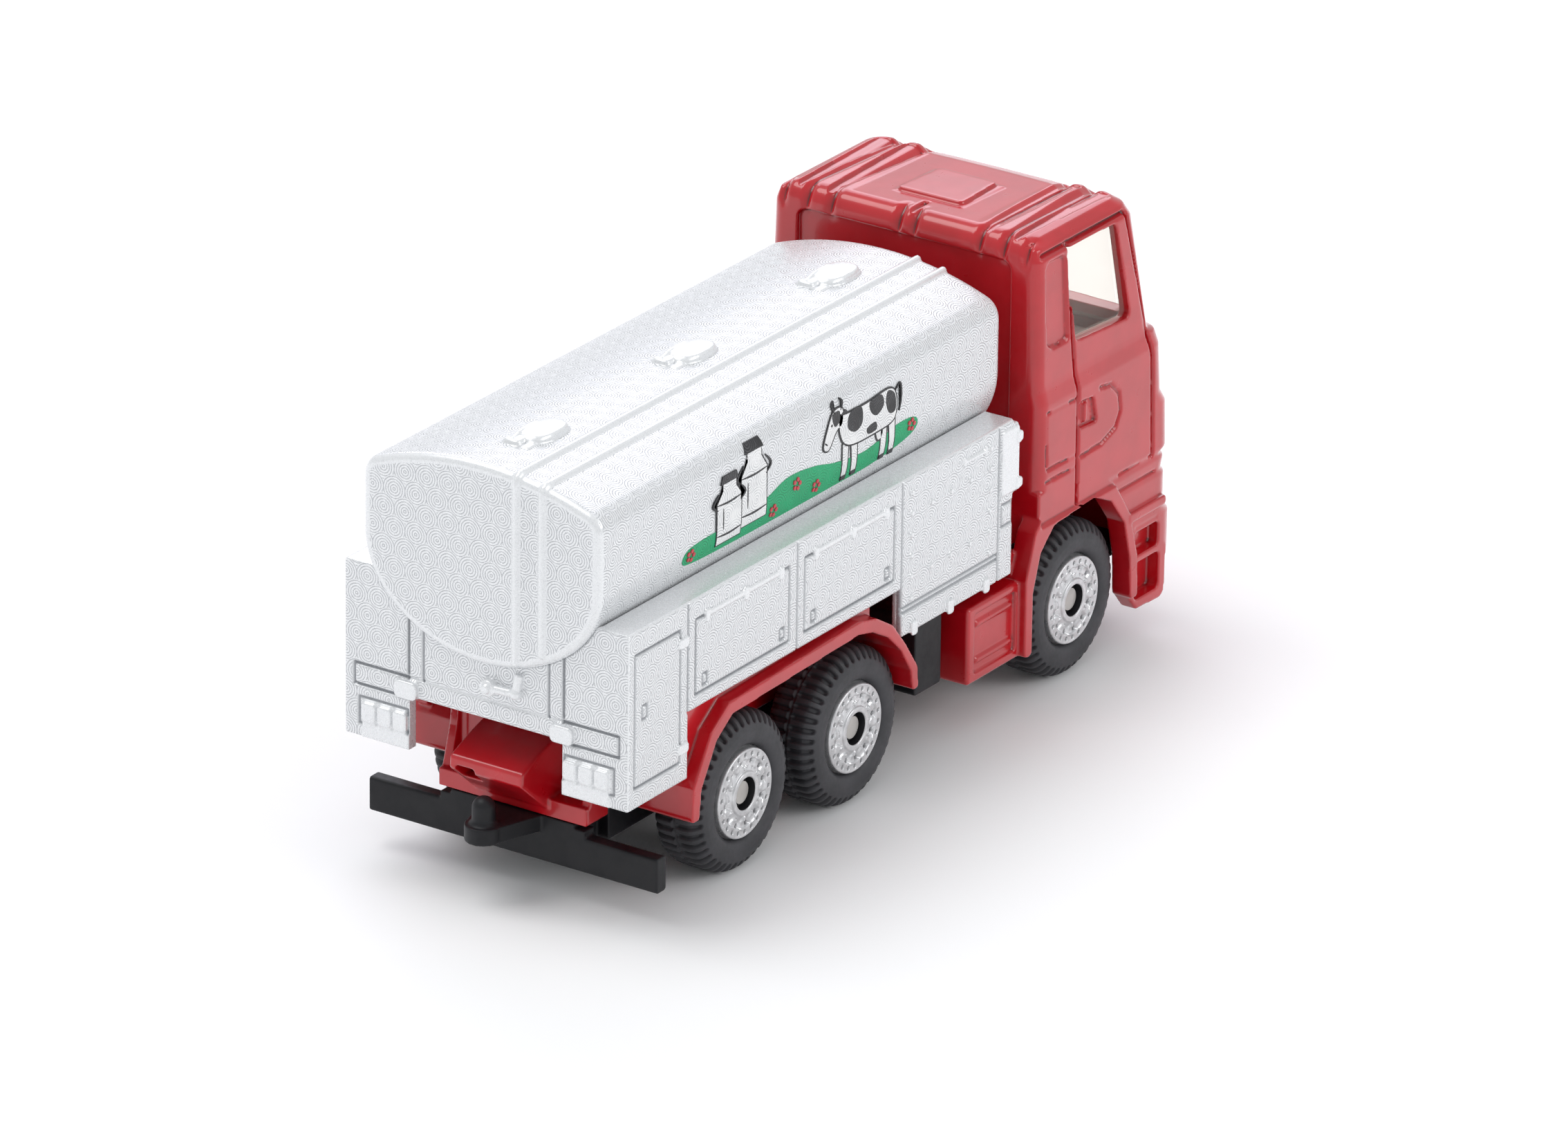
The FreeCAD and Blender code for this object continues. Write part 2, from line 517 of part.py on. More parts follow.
def cab_interior():
    """Grey tub with two seats, dashboard and steering wheel."""
    floor = block(64.2, 80.6, -12.6, 12.6, 18.0, 19.0)
    dash = plate_xz([(75.6, 18.5), (80.6, 18.5), (80.6, 27.4), (78.3, 28.4), (76.6, 27.6)], -12.4, 12.4, 0.5)
    seats = []
    for y in (-6.4, 6.4):
        cushion = block(65.8, 71.6, y - 3.4, y + 3.4, 18.5, 22.6)
        back = plate_xz([(64.8, 19), (67.2, 19), (66.4, 33.4), (64.8, 33.4)], y - 3.2, y + 3.2, 0.7)
        seats += [rounded(cushion, 0.7, lambda e: abs(e.CenterOfMass.z - 22.6) < 0.01), back]
    ring = Part.makeTorus(2.2, 0.3, V(74.6, 6.4, 27.6), V(-0.85, 0, 0.53))
    hub = Part.makeCylinder(0.55, 3.4, V(77.2, 6.4, 26.0), V(-0.85, 0, 0.53))
    spoke = Part.makeCylinder(0.25, 4.4, V(74.6, 4.2, 27.6), V(0, 1, 0))
    return joined([floor, dash, ring, hub, spoke] + seats)


# ---- base plate ---------------------------------------------------------------------------------
def tow_hitch():
    tongue = plate_xy([(TOW_PIN_X, -1.65), (TOW_PIN_X, 1.65), (5.0, 3.4), (5.0, -3.4)], 6.05, 7.5)
    nose = Part.makeCylinder(1.65, 1.45, V(TOW_PIN_X, 0, 6.05))
    foot = Part.makeCone(1.3, PIN_R, 0.4, V(TOW_PIN_X, 0, 7.45))
    pin = Part.makeCylinder(PIN_R, 1.2, V(TOW_PIN_X, 0, 7.75))
    dome = Part.makeSphere(PIN_R, V(TOW_PIN_X, 0, 8.95))
    return [tongue, nose, foot, pin, dome]


def base_plate():
    tray = block(7.4, 80.0, -TRAY_HALF, TRAY_HALF, TRAY_BOTTOM, TRAY_TOP)
    tray = rounded(tray, 0.5, lambda e: abs(e.CenterOfMass.z - TRAY_BOTTOM) < 0.01)
    pan = [block(9.0, 16.0, -5.6, 5.6, 6.2, TRAY_TOP), block(21.0, 24.0, -5.6, 5.6, 6.2, TRAY_TOP),
           block(37.5, 53.4, -5.6, 5.6, 6.2, TRAY_TOP), block(58.6, 66.0, -5.6, 5.6, 6.2, TRAY_TOP),
           block(72.0, 79.0, -5.6, 5.6, 6.2, TRAY_TOP)]
    bar = slab(3.9, 5.3, -14.8, 14.8, 3.3, 6.45, 0.25)
    rise = plate_yz([(-7.4, 6.2), (7.4, 6.2), (7.4, 7.1), (6.3, 7.1), (6.3, 7.5), (-6.3, 7.5), (-6.3, 7.1),
                     (-7.4, 7.1)], 3.9, 5.4)
    arm = block(5.2, 8.0, -6.3, 6.3, 4.9, 7.5)
    tanks = both([slab(45.3, 49.4, -13.0, -7.6, 6.1, 13.4, 0.3),
                  block(45.6, 49.1, -8.0, -7.0, 6.4, 9.0)])
    chin = block(79.5, 82.2, -11.0, 11.0, 6.9, 8.2)
    solid = joined([less(tray, pan), bar, rise, arm, chin] + tanks + tow_hitch())
    bores = [rod(x, TYRE_R, AXLE_R + AXLE_PLAY, -9, 9) for x in AXLES.values()]
    bores += [Part.makeCylinder(RIVET_HOLE_R, 6.0, V(x, 0, TRAY_BOTTOM - 1), V(0, 0, 1)) for x in RIVET_X]
    bores += [Part.makeCylinder(RIVET_HEAD_R, RIVET_HEAD, V(x, 0, TRAY_BOTTOM), V(0, 0, 1)) for x in RIVET_X]
    return less(solid, bores)


def rivet(x):
    """Post spun over flush with the underside of the base plate."""
    shank = Part.makeCylinder(RIVET_HOLE_R - 0.03, 6.6, V(x, 0, TRAY_BOTTOM), V(0, 0, 1))
    head = Part.makeCylinder(RIVET_HEAD_R, RIVET_HEAD, V(x, 0, TRAY_BOTTOM), V(0, 0, 1))
    return joined([shank, head])


# ---- wheels -------------------------------------------------------------------------------------
def turned(points, x):
    """A body of revolution about the axle at x from (radius, y) points."""
    wire = Part.makePolygon([V(x + r, y, TYRE_R) for r, y in points + points[:1]])
    return Part.Face(wire).revolve(V(x, 0, TYRE_R), V(0, 1, 0), 360)


def tyre(x):
    """Right-hand tyre: round shoulders and a slightly crowned tread."""
    r, o, i = TYRE_R, TYRE_OUTER_Y, TYRE_INNER_Y
    return turned([(RIM_R, -i - 0.3), (RIM_R, -o + 0.15), (RIM_R + 0.4, -o), (5.7, -o), (6.5, -o + 0.3),
                   (r - 0.15, -o + 0.85), (r, -o + 1.3), (r, -i - 0.9), (r - 0.15, -i - 0.5),
                   (6.5, -i - 0.1), (5.7, -i), (RIM_R + 0.4, -i)], x)


def rim(x):
    """Right-hand rim: barrel, dished disc and raised hub ring round the axle end."""
    o = TYRE_OUTER_Y
    face = [(AXLE_R, -10.0), (AXLE_R, -o + 0.9), (1.45, -o + 0.9), (1.45, -o - 0.1), (1.9, -o - 0.1),
            (2.15, -o + 0.15), (2.3, -o + 0.35), (3.35, -o + 0.4), (3.5, -o + 0.15), (RIM_R, -o + 0.15),
            (RIM_R, -9.4), (RIM_R - 0.6, -9.4), (RIM_R - 0.7, -12.4), (2.0, -12.4), (2.0, -10.0)]
    solid = turned(face, x)
    holes = []
    for k in range(10):
        angle = math.radians(36 * k)
        holes.append(rod(x + 2.85 * math.cos(angle), TYRE_R + 2.85 * math.sin(angle), 0.28, -14.5, -13.2))
    return less(solid, holes)


def axle(x):
    return rod(x, TYRE_R, AXLE_R, -AXLE_END_Y, AXLE_END_Y)


os.makedirs("parts", exist_ok=True)
export("cab_chassis_casting", cab_chassis_casting())
export("window_insert", window_insert())
export("cab_interior", cab_interior())
export("base_plate", base_plate())
export("tank_shell", tank_shell())
export("locker_body", locker_body())
export("front_rivet", rivet(RIVET_X[1]))
export("rear_rivet", rivet(RIVET_X[0]))
for place, axle_x in AXLES.items():
    export(place + "_axle", axle(axle_x))
    export(place + "_right_tyre", tyre(axle_x))
    export(place + "_left_tyre", mirrored(tyre(axle_x)))
    export(place + "_right_rim", rim(axle_x))
    export(place + "_left_rim", mirrored(rim(axle_x)))
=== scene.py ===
import math

import bmesh
import bpy
import numpy as np
from mathutils import Matrix, Vector


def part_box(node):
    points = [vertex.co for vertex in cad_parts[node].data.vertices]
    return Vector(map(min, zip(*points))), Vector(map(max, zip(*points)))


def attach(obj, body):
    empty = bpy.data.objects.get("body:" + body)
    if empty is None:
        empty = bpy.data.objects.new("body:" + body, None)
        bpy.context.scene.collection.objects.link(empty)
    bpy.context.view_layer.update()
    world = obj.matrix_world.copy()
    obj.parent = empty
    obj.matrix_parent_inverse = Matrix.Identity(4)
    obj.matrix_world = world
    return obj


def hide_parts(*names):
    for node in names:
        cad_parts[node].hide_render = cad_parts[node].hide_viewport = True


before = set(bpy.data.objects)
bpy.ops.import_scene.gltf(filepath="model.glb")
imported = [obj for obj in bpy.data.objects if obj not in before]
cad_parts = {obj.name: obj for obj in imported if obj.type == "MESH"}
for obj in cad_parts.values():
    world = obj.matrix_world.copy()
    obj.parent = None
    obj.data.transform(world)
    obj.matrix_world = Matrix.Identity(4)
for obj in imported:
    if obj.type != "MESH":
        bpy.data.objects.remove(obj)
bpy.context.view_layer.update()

# A small die-cast toy milk tanker.  Lengths below are millimetres in the drawing's own axes: x runs
# forward from the rear face of the locker body, y to the left, z up from the floor.  at() turns them
# into the row frame in metres.

MM = 0.001
REAR_AXLE_X = 18.2
PLACES = ("rear", "middle", "front")


def middle_of(node):
    low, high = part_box(node)
    return (low + high) / 2


HUBS = {place: middle_of(place + "_axle") for place in PLACES}
ORIGIN_X = HUBS["rear"].x - REAR_AXLE_X * MM


def at(x, y, z):
    return Vector((ORIGIN_X + x * MM, y * MM, z * MM))


def placed(points):
    """An array of drawing points in millimetres, moved to the row frame in metres."""
    return np.asarray(points, float) * MM + np.array((ORIGIN_X, 0, 0))


# ---- materials ----------------------------------------------------------------------------------
class Shader:
    """Short way to write one material's node tree."""

    def __init__(self, name, **values):
        self.material = bpy.data.materials.new(name)
        self.material.use_nodes = True
        self.tree = self.material.node_tree
        self.surface = self.tree.nodes["Principled BSDF"]
        for key, value in values.items():
            self.surface.inputs[key.replace("_", " ")].default_value = value

    def node(self, kind, *inputs, **settings):
        made = self.tree.nodes.new("ShaderNode" + kind)
        for key, value in settings.items():
            setattr(made, key, value)
        for i, value in enumerate(inputs):
            if isinstance(value, bpy.types.NodeSocket):
                self.tree.links.new(value, made.inputs[i])
            elif value is not None:
                made.inputs[i].default_value = value
        return made

    def math(self, operation, a, b=0.0, c=0.0):
        return self.node("Math", a, b, c, operation=operation).outputs[0]

    def step(self, value, low, high):
        """0 below low and 1 above high, smooth between."""
        made = self.node("MapRange", value, low, high, 0.0, 1.0, interpolation_type="SMOOTHSTEP")
        return made.outputs[0]

    def mix(self, factor, a, b):
        made = self.node("Mix", data_type="RGBA")
        for i, value in ((0, factor), (6, a), (7, b)):
            if isinstance(value, bpy.types.NodeSocket):
                self.tree.links.new(value, made.inputs[i])
            else:
                made.inputs[i].default_value = value
        return made.outputs[2]

    def noise(self, scale, detail, place):
        made = self.node("TexNoise", place)
        made.inputs["Scale"].default_value = scale
        made.inputs["Detail"].default_value = detail
        return made.outputs["Fac"]

    def object_place(self):
        return self.node("TexCoord").outputs["Object"]

    def pointiness(self):
        """About 0.5 on flats, less in grooves and more on edges."""
        return self.node("NewGeometry").outputs["Pointiness"]

    def bump(self, height, distance, strength):
        made = self.node("Bump", strength, distance)
        self.tree.links.new(height, made.inputs["Height"])
        return made.outputs[0]

    def use(self, name, socket):
        self.tree.links.new(socket, self.surface.inputs[name])


def red_enamel():
    """Thick gloss enamel over die-cast metal: slight orange peel, and painted shade in grooves and hollows.
    """
    s = Shader("red_enamel", Roughness=0.3, Coat_Weight=1.0, Coat_Roughness=0.11, Coat_IOR=1.5)
    s.surface.inputs["Specular IOR Level"].default_value = 0.3
    place = s.object_place()
    blotch = s.noise(260, 3.0, place)
    # The first colour here is painted shade: a dark red put in grooves and hollows, where pointiness is low.
    hollow_shade, deep, bright = (0.10, 0.001, 0.002, 1), (0.45, 0.002, 0.007, 1), (0.51, 0.004, 0.011, 1)
    paint = s.mix(s.step(blotch, 0.35, 0.65), deep, bright)
    s.use("Base Color", s.mix(s.step(s.pointiness(), 0.44, 0.492), hollow_shade, paint))
    s.use("Roughness", s.math("MULTIPLY_ADD", s.noise(900, 2.0, place), 0.12, 0.24))
    peel = s.bump(s.noise(420, 2.0, place), 0.01 * MM, 0.35)
    s.use("Normal", peel)
    s.tree.links.new(peel, s.surface.inputs["Coat Normal"])
    return s.material


RING_PITCH = 0.245 * MM      # from one engraved ring to the next
DISC_R = 1.24 * MM           # outer ring of a disc
DISC_STEP = 2.2 * MM         # from disc to disc in a row
ROW_STEP = 1.79 * MM         # from row to row, every other row shifted by half a step
RING_DEPTH = 0.04 * MM
FACING_END = 0.72            # part of the normal along x or z from which a face counts as end or top


def ring_height(s, u, v):
    """Height of overlapping discs of engraved rings, lower rows lying over upper ones."""
    row = s.math("FLOOR", s.math("DIVIDE", v, ROW_STEP))

    def disc_distance(row_number):
        shift = s.math("MULTIPLY", s.math("FLOORED_MODULO", row_number, 2.0), DISC_STEP / 2)
        across = s.math("SUBTRACT", u, shift)
        near = s.math("MULTIPLY", s.math("ROUND", s.math("DIVIDE", across, DISC_STEP)), DISC_STEP)
        du = s.math("SUBTRACT", across, near)
        dv = s.math("SUBTRACT", v, s.math("MULTIPLY", row_number, ROW_STEP))
        return s.math("SQRT", s.math("ADD", s.math("MULTIPLY", du, du), s.math("MULTIPLY", dv, dv)))
    lower = disc_distance(row)
    upper = disc_distance(s.math("ADD", row, 1.0))
    outside = s.math("GREATER_THAN", lower, DISC_R)
    difference = s.math("SUBTRACT", upper, lower)
    distance = s.math("MULTIPLY_ADD", outside, difference, lower)
    wave = s.math("COSINE", s.math("MULTIPLY", distance, 2 * math.pi / RING_PITCH))
    return s.step(wave, -1.0, -0.35)


def silver_moulding():
    """Silver-white plastic: engine-turned discs where 'engraved' is 1, and painted shade in hollows, in the
    rings' grooves and along the engraved lines.
    """
    s = Shader("silver_engraved", Roughness=0.34, Metallic=0.3)
    place = s.object_place()
    grain = s.noise(2600, 2.0, place)
    fleck = s.step(s.noise(7000, 1.0, place), 0.45, 0.75)
    white, silver, shade = (0.85, 0.86, 0.87, 1), (0.76, 0.77, 0.785, 1), (0.40, 0.415, 0.44, 1)
    colour = s.mix(fleck, white, silver)
    # Painted shade: hollows, where pointiness is low, take the grey shade colour.
    colour = s.mix(s.step(s.pointiness(), 0.40, 0.49), shade, colour)
    axes = s.node("SeparateXYZ", place).outputs
    facing = s.node("SeparateXYZ", s.node("TexCoord").outputs["Normal"]).outputs
    to_end = s.math("GREATER_THAN", s.math("ABSOLUTE", facing[0]), FACING_END)
    to_top = s.math("GREATER_THAN", s.math("ABSOLUTE", facing[2]), FACING_END)
    u = s.math("MULTIPLY_ADD", to_end, s.math("SUBTRACT", axes[1], axes[0]), axes[0])
    v = s.math("MULTIPLY_ADD", to_top, s.math("SUBTRACT", axes[1], axes[2]), axes[2])
    engraved = s.node("Attribute", attribute_name="engraved").outputs["Fac"]
    sunk = s.math("MULTIPLY", s.math("SUBTRACT", 1.0, ring_height(s, u, v)), engraved)
    # Painted shade: the grooves of the discs' rings are darkened towards the shade colour.
    colour = s.mix(s.math("MULTIPLY", sunk, 0.62), colour, shade)
    # Painted shade: a darker grey along the engraved lines that a vertex value marks.
    line_shade = s.node("Attribute", attribute_name="line_shade").outputs["Fac"]
    colour = s.mix(s.math("MULTIPLY", line_shade, 0.85), colour, (0.27, 0.28, 0.30, 1))
    height = s.math("MULTIPLY_ADD", sunk, -1.0, s.math("MULTIPLY", grain, 0.08))
    s.use("Base Color", colour)
    s.use("Roughness", s.math("MULTIPLY_ADD", grain, 0.15, 0.2))
    s.use("Normal", s.bump(height, RING_DEPTH, 0.8))
    return s.material


def rim_silver():
    """Bright plastic rim, with painted shade inside its holes: near-black where a vertex value is 1."""
    s = Shader("rim_silver", Metallic=0.75)
    place = s.object_place()
    tone = s.mix(s.step(s.noise(1500, 3.0, place), 0.35, 0.7), (0.60, 0.60, 0.61, 1), (0.72, 0.72, 0.73, 1))
    # Painted shade: a near-black colour inside the holes, from a vertex value.
    hole_shade = s.node("Attribute", attribute_name="hole_shade").outputs["Fac"]
    s.use("Base Color", s.mix(hole_shade, tone, (0.03, 0.03, 0.032, 1)))
    s.use("Roughness", s.math("MULTIPLY_ADD", s.noise(900, 2.0, place), 0.2, 0.2))
    s.use("Normal", s.bump(s.noise(3000, 2.0, place), 0.005 * MM, 0.6))
    return s.material


def moulded(name, dark, light, roughness, scale=1800, depth=0.008 * MM):
    """Plain moulded material with a fine grain and slight tone changes."""
    s = Shader(name)
    place = s.object_place()
    s.use("Base Color", s.mix(s.step(s.noise(scale / 6, 3.0, place), 0.3, 0.7), dark, light))
    s.use("Roughness", s.math("MULTIPLY_ADD", s.noise(scale, 2.0, place), 0.2, roughness - 0.1))
    s.use("Normal", s.bump(s.noise(scale * 2, 3.0, place), depth, 0.6))
    return s.material


def clear_glazing():
    """Clear moulding with a cream tint: mostly see-through, glossy at a slant."""
    s = Shader("cream_glazing", Roughness=0.04)
    s.surface.inputs["Base Color"].default_value = (0.93, 0.90, 0.83, 1)
    s.surface.inputs["IOR"].default_value = 1.5
    through = s.node("BsdfTransparent")
    through.inputs["Color"].default_value = (0.995, 0.985, 0.965, 1)
    slant = s.node("LayerWeight", 0.5).outputs["Facing"]
    gloss = s.math("MULTIPLY", s.math("POWER", slant, 4.0), 0.6)
    haze = s.math("MULTIPLY_ADD", s.noise(500, 2.0, s.object_place()), 0.03, 0.02)
    blend = s.node("MixShader", s.math("MINIMUM", s.math("ADD", gloss, haze), 1.0))
    s.tree.links.new(through.outputs[0], blend.inputs[1])
    s.tree.links.new(s.surface.outputs[0], blend.inputs[2])
    s.tree.links.new(blend.outputs[0], s.tree.nodes["Material Output"].inputs["Surface"])
    return s.material


def ink(name, colour, groove):
    """Printed ink over the engraved discs, thinner along their lines."""
    s = Shader(name, Roughness=0.42)
    place = s.object_place()
    axes = s.node("SeparateXYZ", place).outputs
    sunk = s.math("SUBTRACT", 1.0, ring_height(s, axes[0], axes[2]))
    worn = s.math("MULTIPLY", sunk, s.step(s.noise(700, 3.0, place), 0.3, 0.6))
    s.use("Base Color", s.mix(worn, colour, groove))
    s.use("Normal", s.bump(sunk, -0.03 * MM, 0.8))
    return s.material


RED = red_enamel()
RIM_SILVER = rim_silver()
SILVER_RINGS = silver_moulding()
# Black plastic of the base plate; the rims also use it to paint shade into their hub bores.
BLACK = moulded("black_plastic", (0.006, 0.006, 0.008, 1), (0.012, 0.012, 0.014, 1), 0.45)
BLACK.node_tree.nodes["Principled BSDF"].inputs["Specular IOR Level"].default_value = 0.3
RUBBER = moulded("tyre_vinyl", (0.030, 0.030, 0.034, 1), (0.045, 0.044, 0.050, 1), 0.55, 2600, 0.012 * MM)
GREY = moulded("grey_plastic", (0.50, 0.50, 0.50, 1), (0.58, 0.58, 0.57, 1), 0.5)
STEEL = moulded("axle_end", (0.46, 0.44, 0.42, 1), (0.60, 0.58, 0.55, 1), 0.35)
STEEL.node_tree.nodes["Principled BSDF"].inputs["Metallic"].default_value = 0.6
CLEAR = clear_glazing()


# ---- meshes -------------------------------------------------------------------------------------
def linked(obj, body):
    bpy.context.scene.collection.objects.link(obj)
    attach(obj, body)
    return obj


def grid_faces(rows, columns, closed=False):
    """Quads between rings of points, stored ring by ring; closed joins the last ring to the first."""
    r, c = np.meshgrid(np.arange(rows if closed else rows - 1), np.arange(columns), indexing="ij")
    r2, c2 = (r + 1) % rows, (c + 1) % columns
    quads = [r * columns + c, r * columns + c2, r2 * columns + c2, r2 * columns + c]
    return np.stack(quads, -1).reshape(-1, 4).tolist()


def smooth_line(points, step, closed=False):
    """Catmull-Rom curve through the points, sampled about every step."""
    points = np.asarray(points, float)
    count = len(points)
    spans = count if closed else count - 1
    out = []
    for i in range(spans):
        if closed:
            a, b, c, d = (points[(i + k) % count] for k in (-1, 0, 1, 2))
        else:
            a, b, c, d = (points[min(max(i + k, 0), count - 1)] for k in (-1, 0, 1, 2))
        steps = max(1, int(math.ceil(np.linalg.norm(c - b) / step)))
        for t in np.arange(steps) / steps:
            out.append(0.5 * (2 * b + (c - a) * t + (2 * a - 5 * b + 4 * c - d) * t * t
                              + (3 * b - a - 3 * c + d) * t ** 3))
    if not closed:
        out.append(points[-1])
    return np.array(out)


def smoothstep(value, low, high):
    t = np.clip((value - low) / (high - low), 0, 1)
    return t * t * (3 - 2 * t)


def line_distance(x, z, path):
    """Distance of each point from a bent line."""
    nearest = np.full(len(x), 1e9)
    for (x0, z0), (x1, z1) in zip(path, path[1:]):
        length = (x1 - x0) ** 2 + (z1 - z0) ** 2
        t = np.clip(((x - x0) * (x1 - x0) + (z - z0) * (z1 - z0)) / length, 0, 1)
        nearest = np.minimum(nearest, np.hypot(x - x0 - t * (x1 - x0), z - z0 - t * (z1 - z0)))
    return nearest


def evaluated(obj):
    graph = bpy.context.evaluated_depsgraph_get()
    return bpy.data.meshes.new_from_object(obj.evaluated_get(graph), depsgraph=graph)


def softened(source, name, voxel, rounds, faces, sculpt=None):
    """A mesh in metres rebuilt in millimetres with soft edges, as paint or a moulding has them."""
    mesh = source.copy()
    count = len(mesh.vertices)
    spots = np.empty(count * 3, np.float32)
    mesh.vertices.foreach_get("co", spots)
    mesh.vertices.foreach_set("co", spots / MM)
    obj = bpy.data.objects.new(name, mesh)
    bpy.context.scene.collection.objects.link(obj)
    remesh = obj.modifiers.new("remesh", "REMESH")
    remesh.mode = "VOXEL"
    remesh.voxel_size = voxel
    obj.data = evaluated(obj)
    obj.modifiers.clear()
    if sculpt is not None:
        spots = vertex_values(obj.data) - (ORIGIN_X / MM, 0, 0)
        sculpt(spots)
        spots += (ORIGIN_X / MM, 0, 0)
        obj.data.vertices.foreach_set("co", spots.astype(np.float32).ravel())
    smooth = obj.modifiers.new("smooth", "SMOOTH")
    smooth.factor, smooth.iterations = 0.5, rounds
    thin = obj.modifiers.new("thin", "DECIMATE")
    thin.ratio = min(1.0, faces / (2 * len(obj.data.polygons)))
    mesh = evaluated(obj)
    mesh.name = name
    bpy.data.objects.remove(obj)
    spots = np.empty(len(mesh.vertices) * 3, np.float32)
    mesh.vertices.foreach_get("co", spots)
    mesh.vertices.foreach_set("co", spots * MM)
    mesh.shade_smooth()
    mesh.materials.clear()
    return mesh


def vertex_values(mesh):
    spots = np.empty(len(mesh.vertices) * 3, np.float32)
    mesh.vertices.foreach_get("co", spots)
    return spots.reshape(-1, 3).astype(float)


def mark(mesh, name, values):
    """Store one number for each vertex, for the materials to read."""
    attribute = mesh.attributes.new(name, "FLOAT", "POINT")
    attribute.data.foreach_set("value", np.asarray(values).ravel().astype(np.float32))


def weigh_normals(obj):
    """Keep large flats flat beside their rounded edges."""
    weigh = obj.modifiers.new("normals", "WEIGHTED_NORMAL")
    weigh.weight = 60
    weigh.keep_sharp = False
    obj.data = evaluated(obj)
    obj.modifiers.clear()


FINE = 1.0        # coarser voxels while trying things


def soft_node(node, name, voxel, rounds, faces, material, sculpt=None):
    mesh = softened(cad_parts[node].data, name, voxel * FINE, rounds, faces, sculpt)
    mesh.materials.append(material)
    obj = linked(bpy.data.objects.new(name, mesh), "vehicle")
    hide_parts(node)
    return obj


# ---- tank ---------------------------------------------------------------------------------------
TANK_REAR, TANK_FRONT = -0.75, 59.4
TANK_HALF, TANK_TOP = 12.1, 40.2
BELLY_Z, BELLY_DEPTH = 31.5, 9.4
CROWN_DROP, SHOULDER_R, END_R = 2.45, 2.0, 0.7
CROWN_R = (TANK_HALF ** 2 + CROWN_DROP ** 2) / (2 * CROWN_DROP)
RIBS = ((-3.6, 23.0), (-6.25, 24.4))
RIB_R = 0.36
LIDS_X = (7.6, 29.3, 51.0)
LID_Y = -0.5


def crown_z(y):
    return TANK_TOP - CROWN_R + math.sqrt(CROWN_R ** 2 - y * y)


TURN_Y = TANK_HALF - SHOULDER_R
TURN_Z = TANK_TOP - CROWN_R + math.sqrt((CROWN_R - SHOULDER_R) ** 2 - TURN_Y ** 2)


def side_y(z):
    """Distance of the tank's side from the centre plane at height z."""
    if z > TURN_Z:
        return TURN_Y + math.sqrt(max(0.0, SHOULDER_R ** 2 - (z - TURN_Z) ** 2))
    if z >= BELLY_Z:
        return TANK_HALF
    return TANK_HALF * math.sqrt(max(0.0, 1 - ((BELLY_Z - z) / BELLY_DEPTH) ** 2))


def tank_loop():
    """Points (y, z) round the tank's section and their outward normals."""
    crown_centre = TANK_TOP - CROWN_R
    lean = math.atan2(TURN_Y, TURN_Z - crown_centre)
    belly = [(TANK_HALF * math.sin(t), BELLY_Z - BELLY_DEPTH * math.cos(t))
             for t in np.linspace(0, math.pi / 2, 70)]
    side = [(TANK_HALF, z) for z in np.linspace(BELLY_Z, TURN_Z, 20)[1:-1]]
    bend = [(TURN_Y + SHOULDER_R * math.cos(t), TURN_Z + SHOULDER_R * math.sin(t))
            for t in np.linspace(0, math.pi / 2 - lean, 14)]
    crown = [(CROWN_R * math.sin(t), crown_centre + CROWN_R * math.cos(t))
             for t in np.linspace(lean, 0, 46)[1:]]
    half = np.array(belly + side + bend + crown)
    other = half[-2:0:-1] * (-1, 1)
    loop = np.vstack([half, other])
    along = np.roll(loop, -1, 0) - np.roll(loop, 1, 0)
    out = np.stack([along[:, 1], -along[:, 0]], 1)
    return loop, out / np.linalg.norm(out, axis=1)[:, None]


TUBE_SIDES, DOME_SIDES = 16, 64


def tube(path, radius):
    """Closed round tube along drawing points, with domed ends."""
    path = np.asarray(path, float)
    along = np.gradient(path, axis=0)
    along /= np.linalg.norm(along, axis=1)[:, None]
    side = np.cross(along, (0, 1, 0))
    side /= np.linalg.norm(side, axis=1)[:, None]
    up = np.cross(side, along)
    turns = np.linspace(0, 2 * math.pi, TUBE_SIDES, endpoint=False)
    rings = [p + radius * (np.outer(np.cos(turns), a) + np.outer(np.sin(turns), b))
             for p, a, b in zip(path, side, up)]
    bulge = radius * 0.7
    points = np.vstack(rings + [path[:1] - along[:1] * bulge, path[-1:] + along[-1:] * bulge])
    faces = grid_faces(len(path), TUBE_SIDES)
    first, last = len(path) * TUBE_SIDES, len(path) * TUBE_SIDES + 1
    last_ring = first - TUBE_SIDES
    for k in range(TUBE_SIDES):
        following = (k + 1) % TUBE_SIDES
        faces += [[first, following, k], [last, last_ring + k, last_ring + following]]
    return points, faces


def dome(centre, half_x, half_y, wall, height, power=2.6):
    """Low oval cover: upright wall and a domed top, closed below."""
    turns = np.linspace(0, 2 * math.pi, DOME_SIDES, endpoint=False)
    ring = np.stack([np.cos(turns), np.sin(turns)], 1)
    ring = np.sign(ring) * np.abs(ring) ** (2 / power)
    root, bevel, brim = -0.8, wall + 0.12, wall + 0.22
    levels = [(1.0, root), (1.0, wall), (0.97, bevel), (0.9, brim)]
    levels += [(math.cos(t), brim + (height - brim) * math.sin(t))
               for t in np.linspace(0.45, 1.5, 6)]
    rows = [np.column_stack([centre[0] + ring[:, 0] * half_x * k, centre[1] + ring[:, 1] * half_y * k,
                             np.full(DOME_SIDES, centre[2] + z)]) for k, z in levels]
    points = np.vstack(rows)
    faces = grid_faces(len(rows), DOME_SIDES)
    faces.append(list(range(DOME_SIDES - 1, -1, -1)))
    faces.append(list(range(len(points) - DOME_SIDES, len(points))))
    return points, faces


def box(x0, x1, y0, y1, z0, z1):
    points = [(x, y, z) for z in (z0, z1) for y in (y0, y1) for x in (x0, x1)]
    faces = [(0, 2, 3, 1), (4, 5, 7, 6), (0, 1, 5, 4), (2, 6, 7, 3), (0, 4, 6, 2), (1, 3, 7, 5)]
    return np.array(points, float), [list(f) for f in faces]


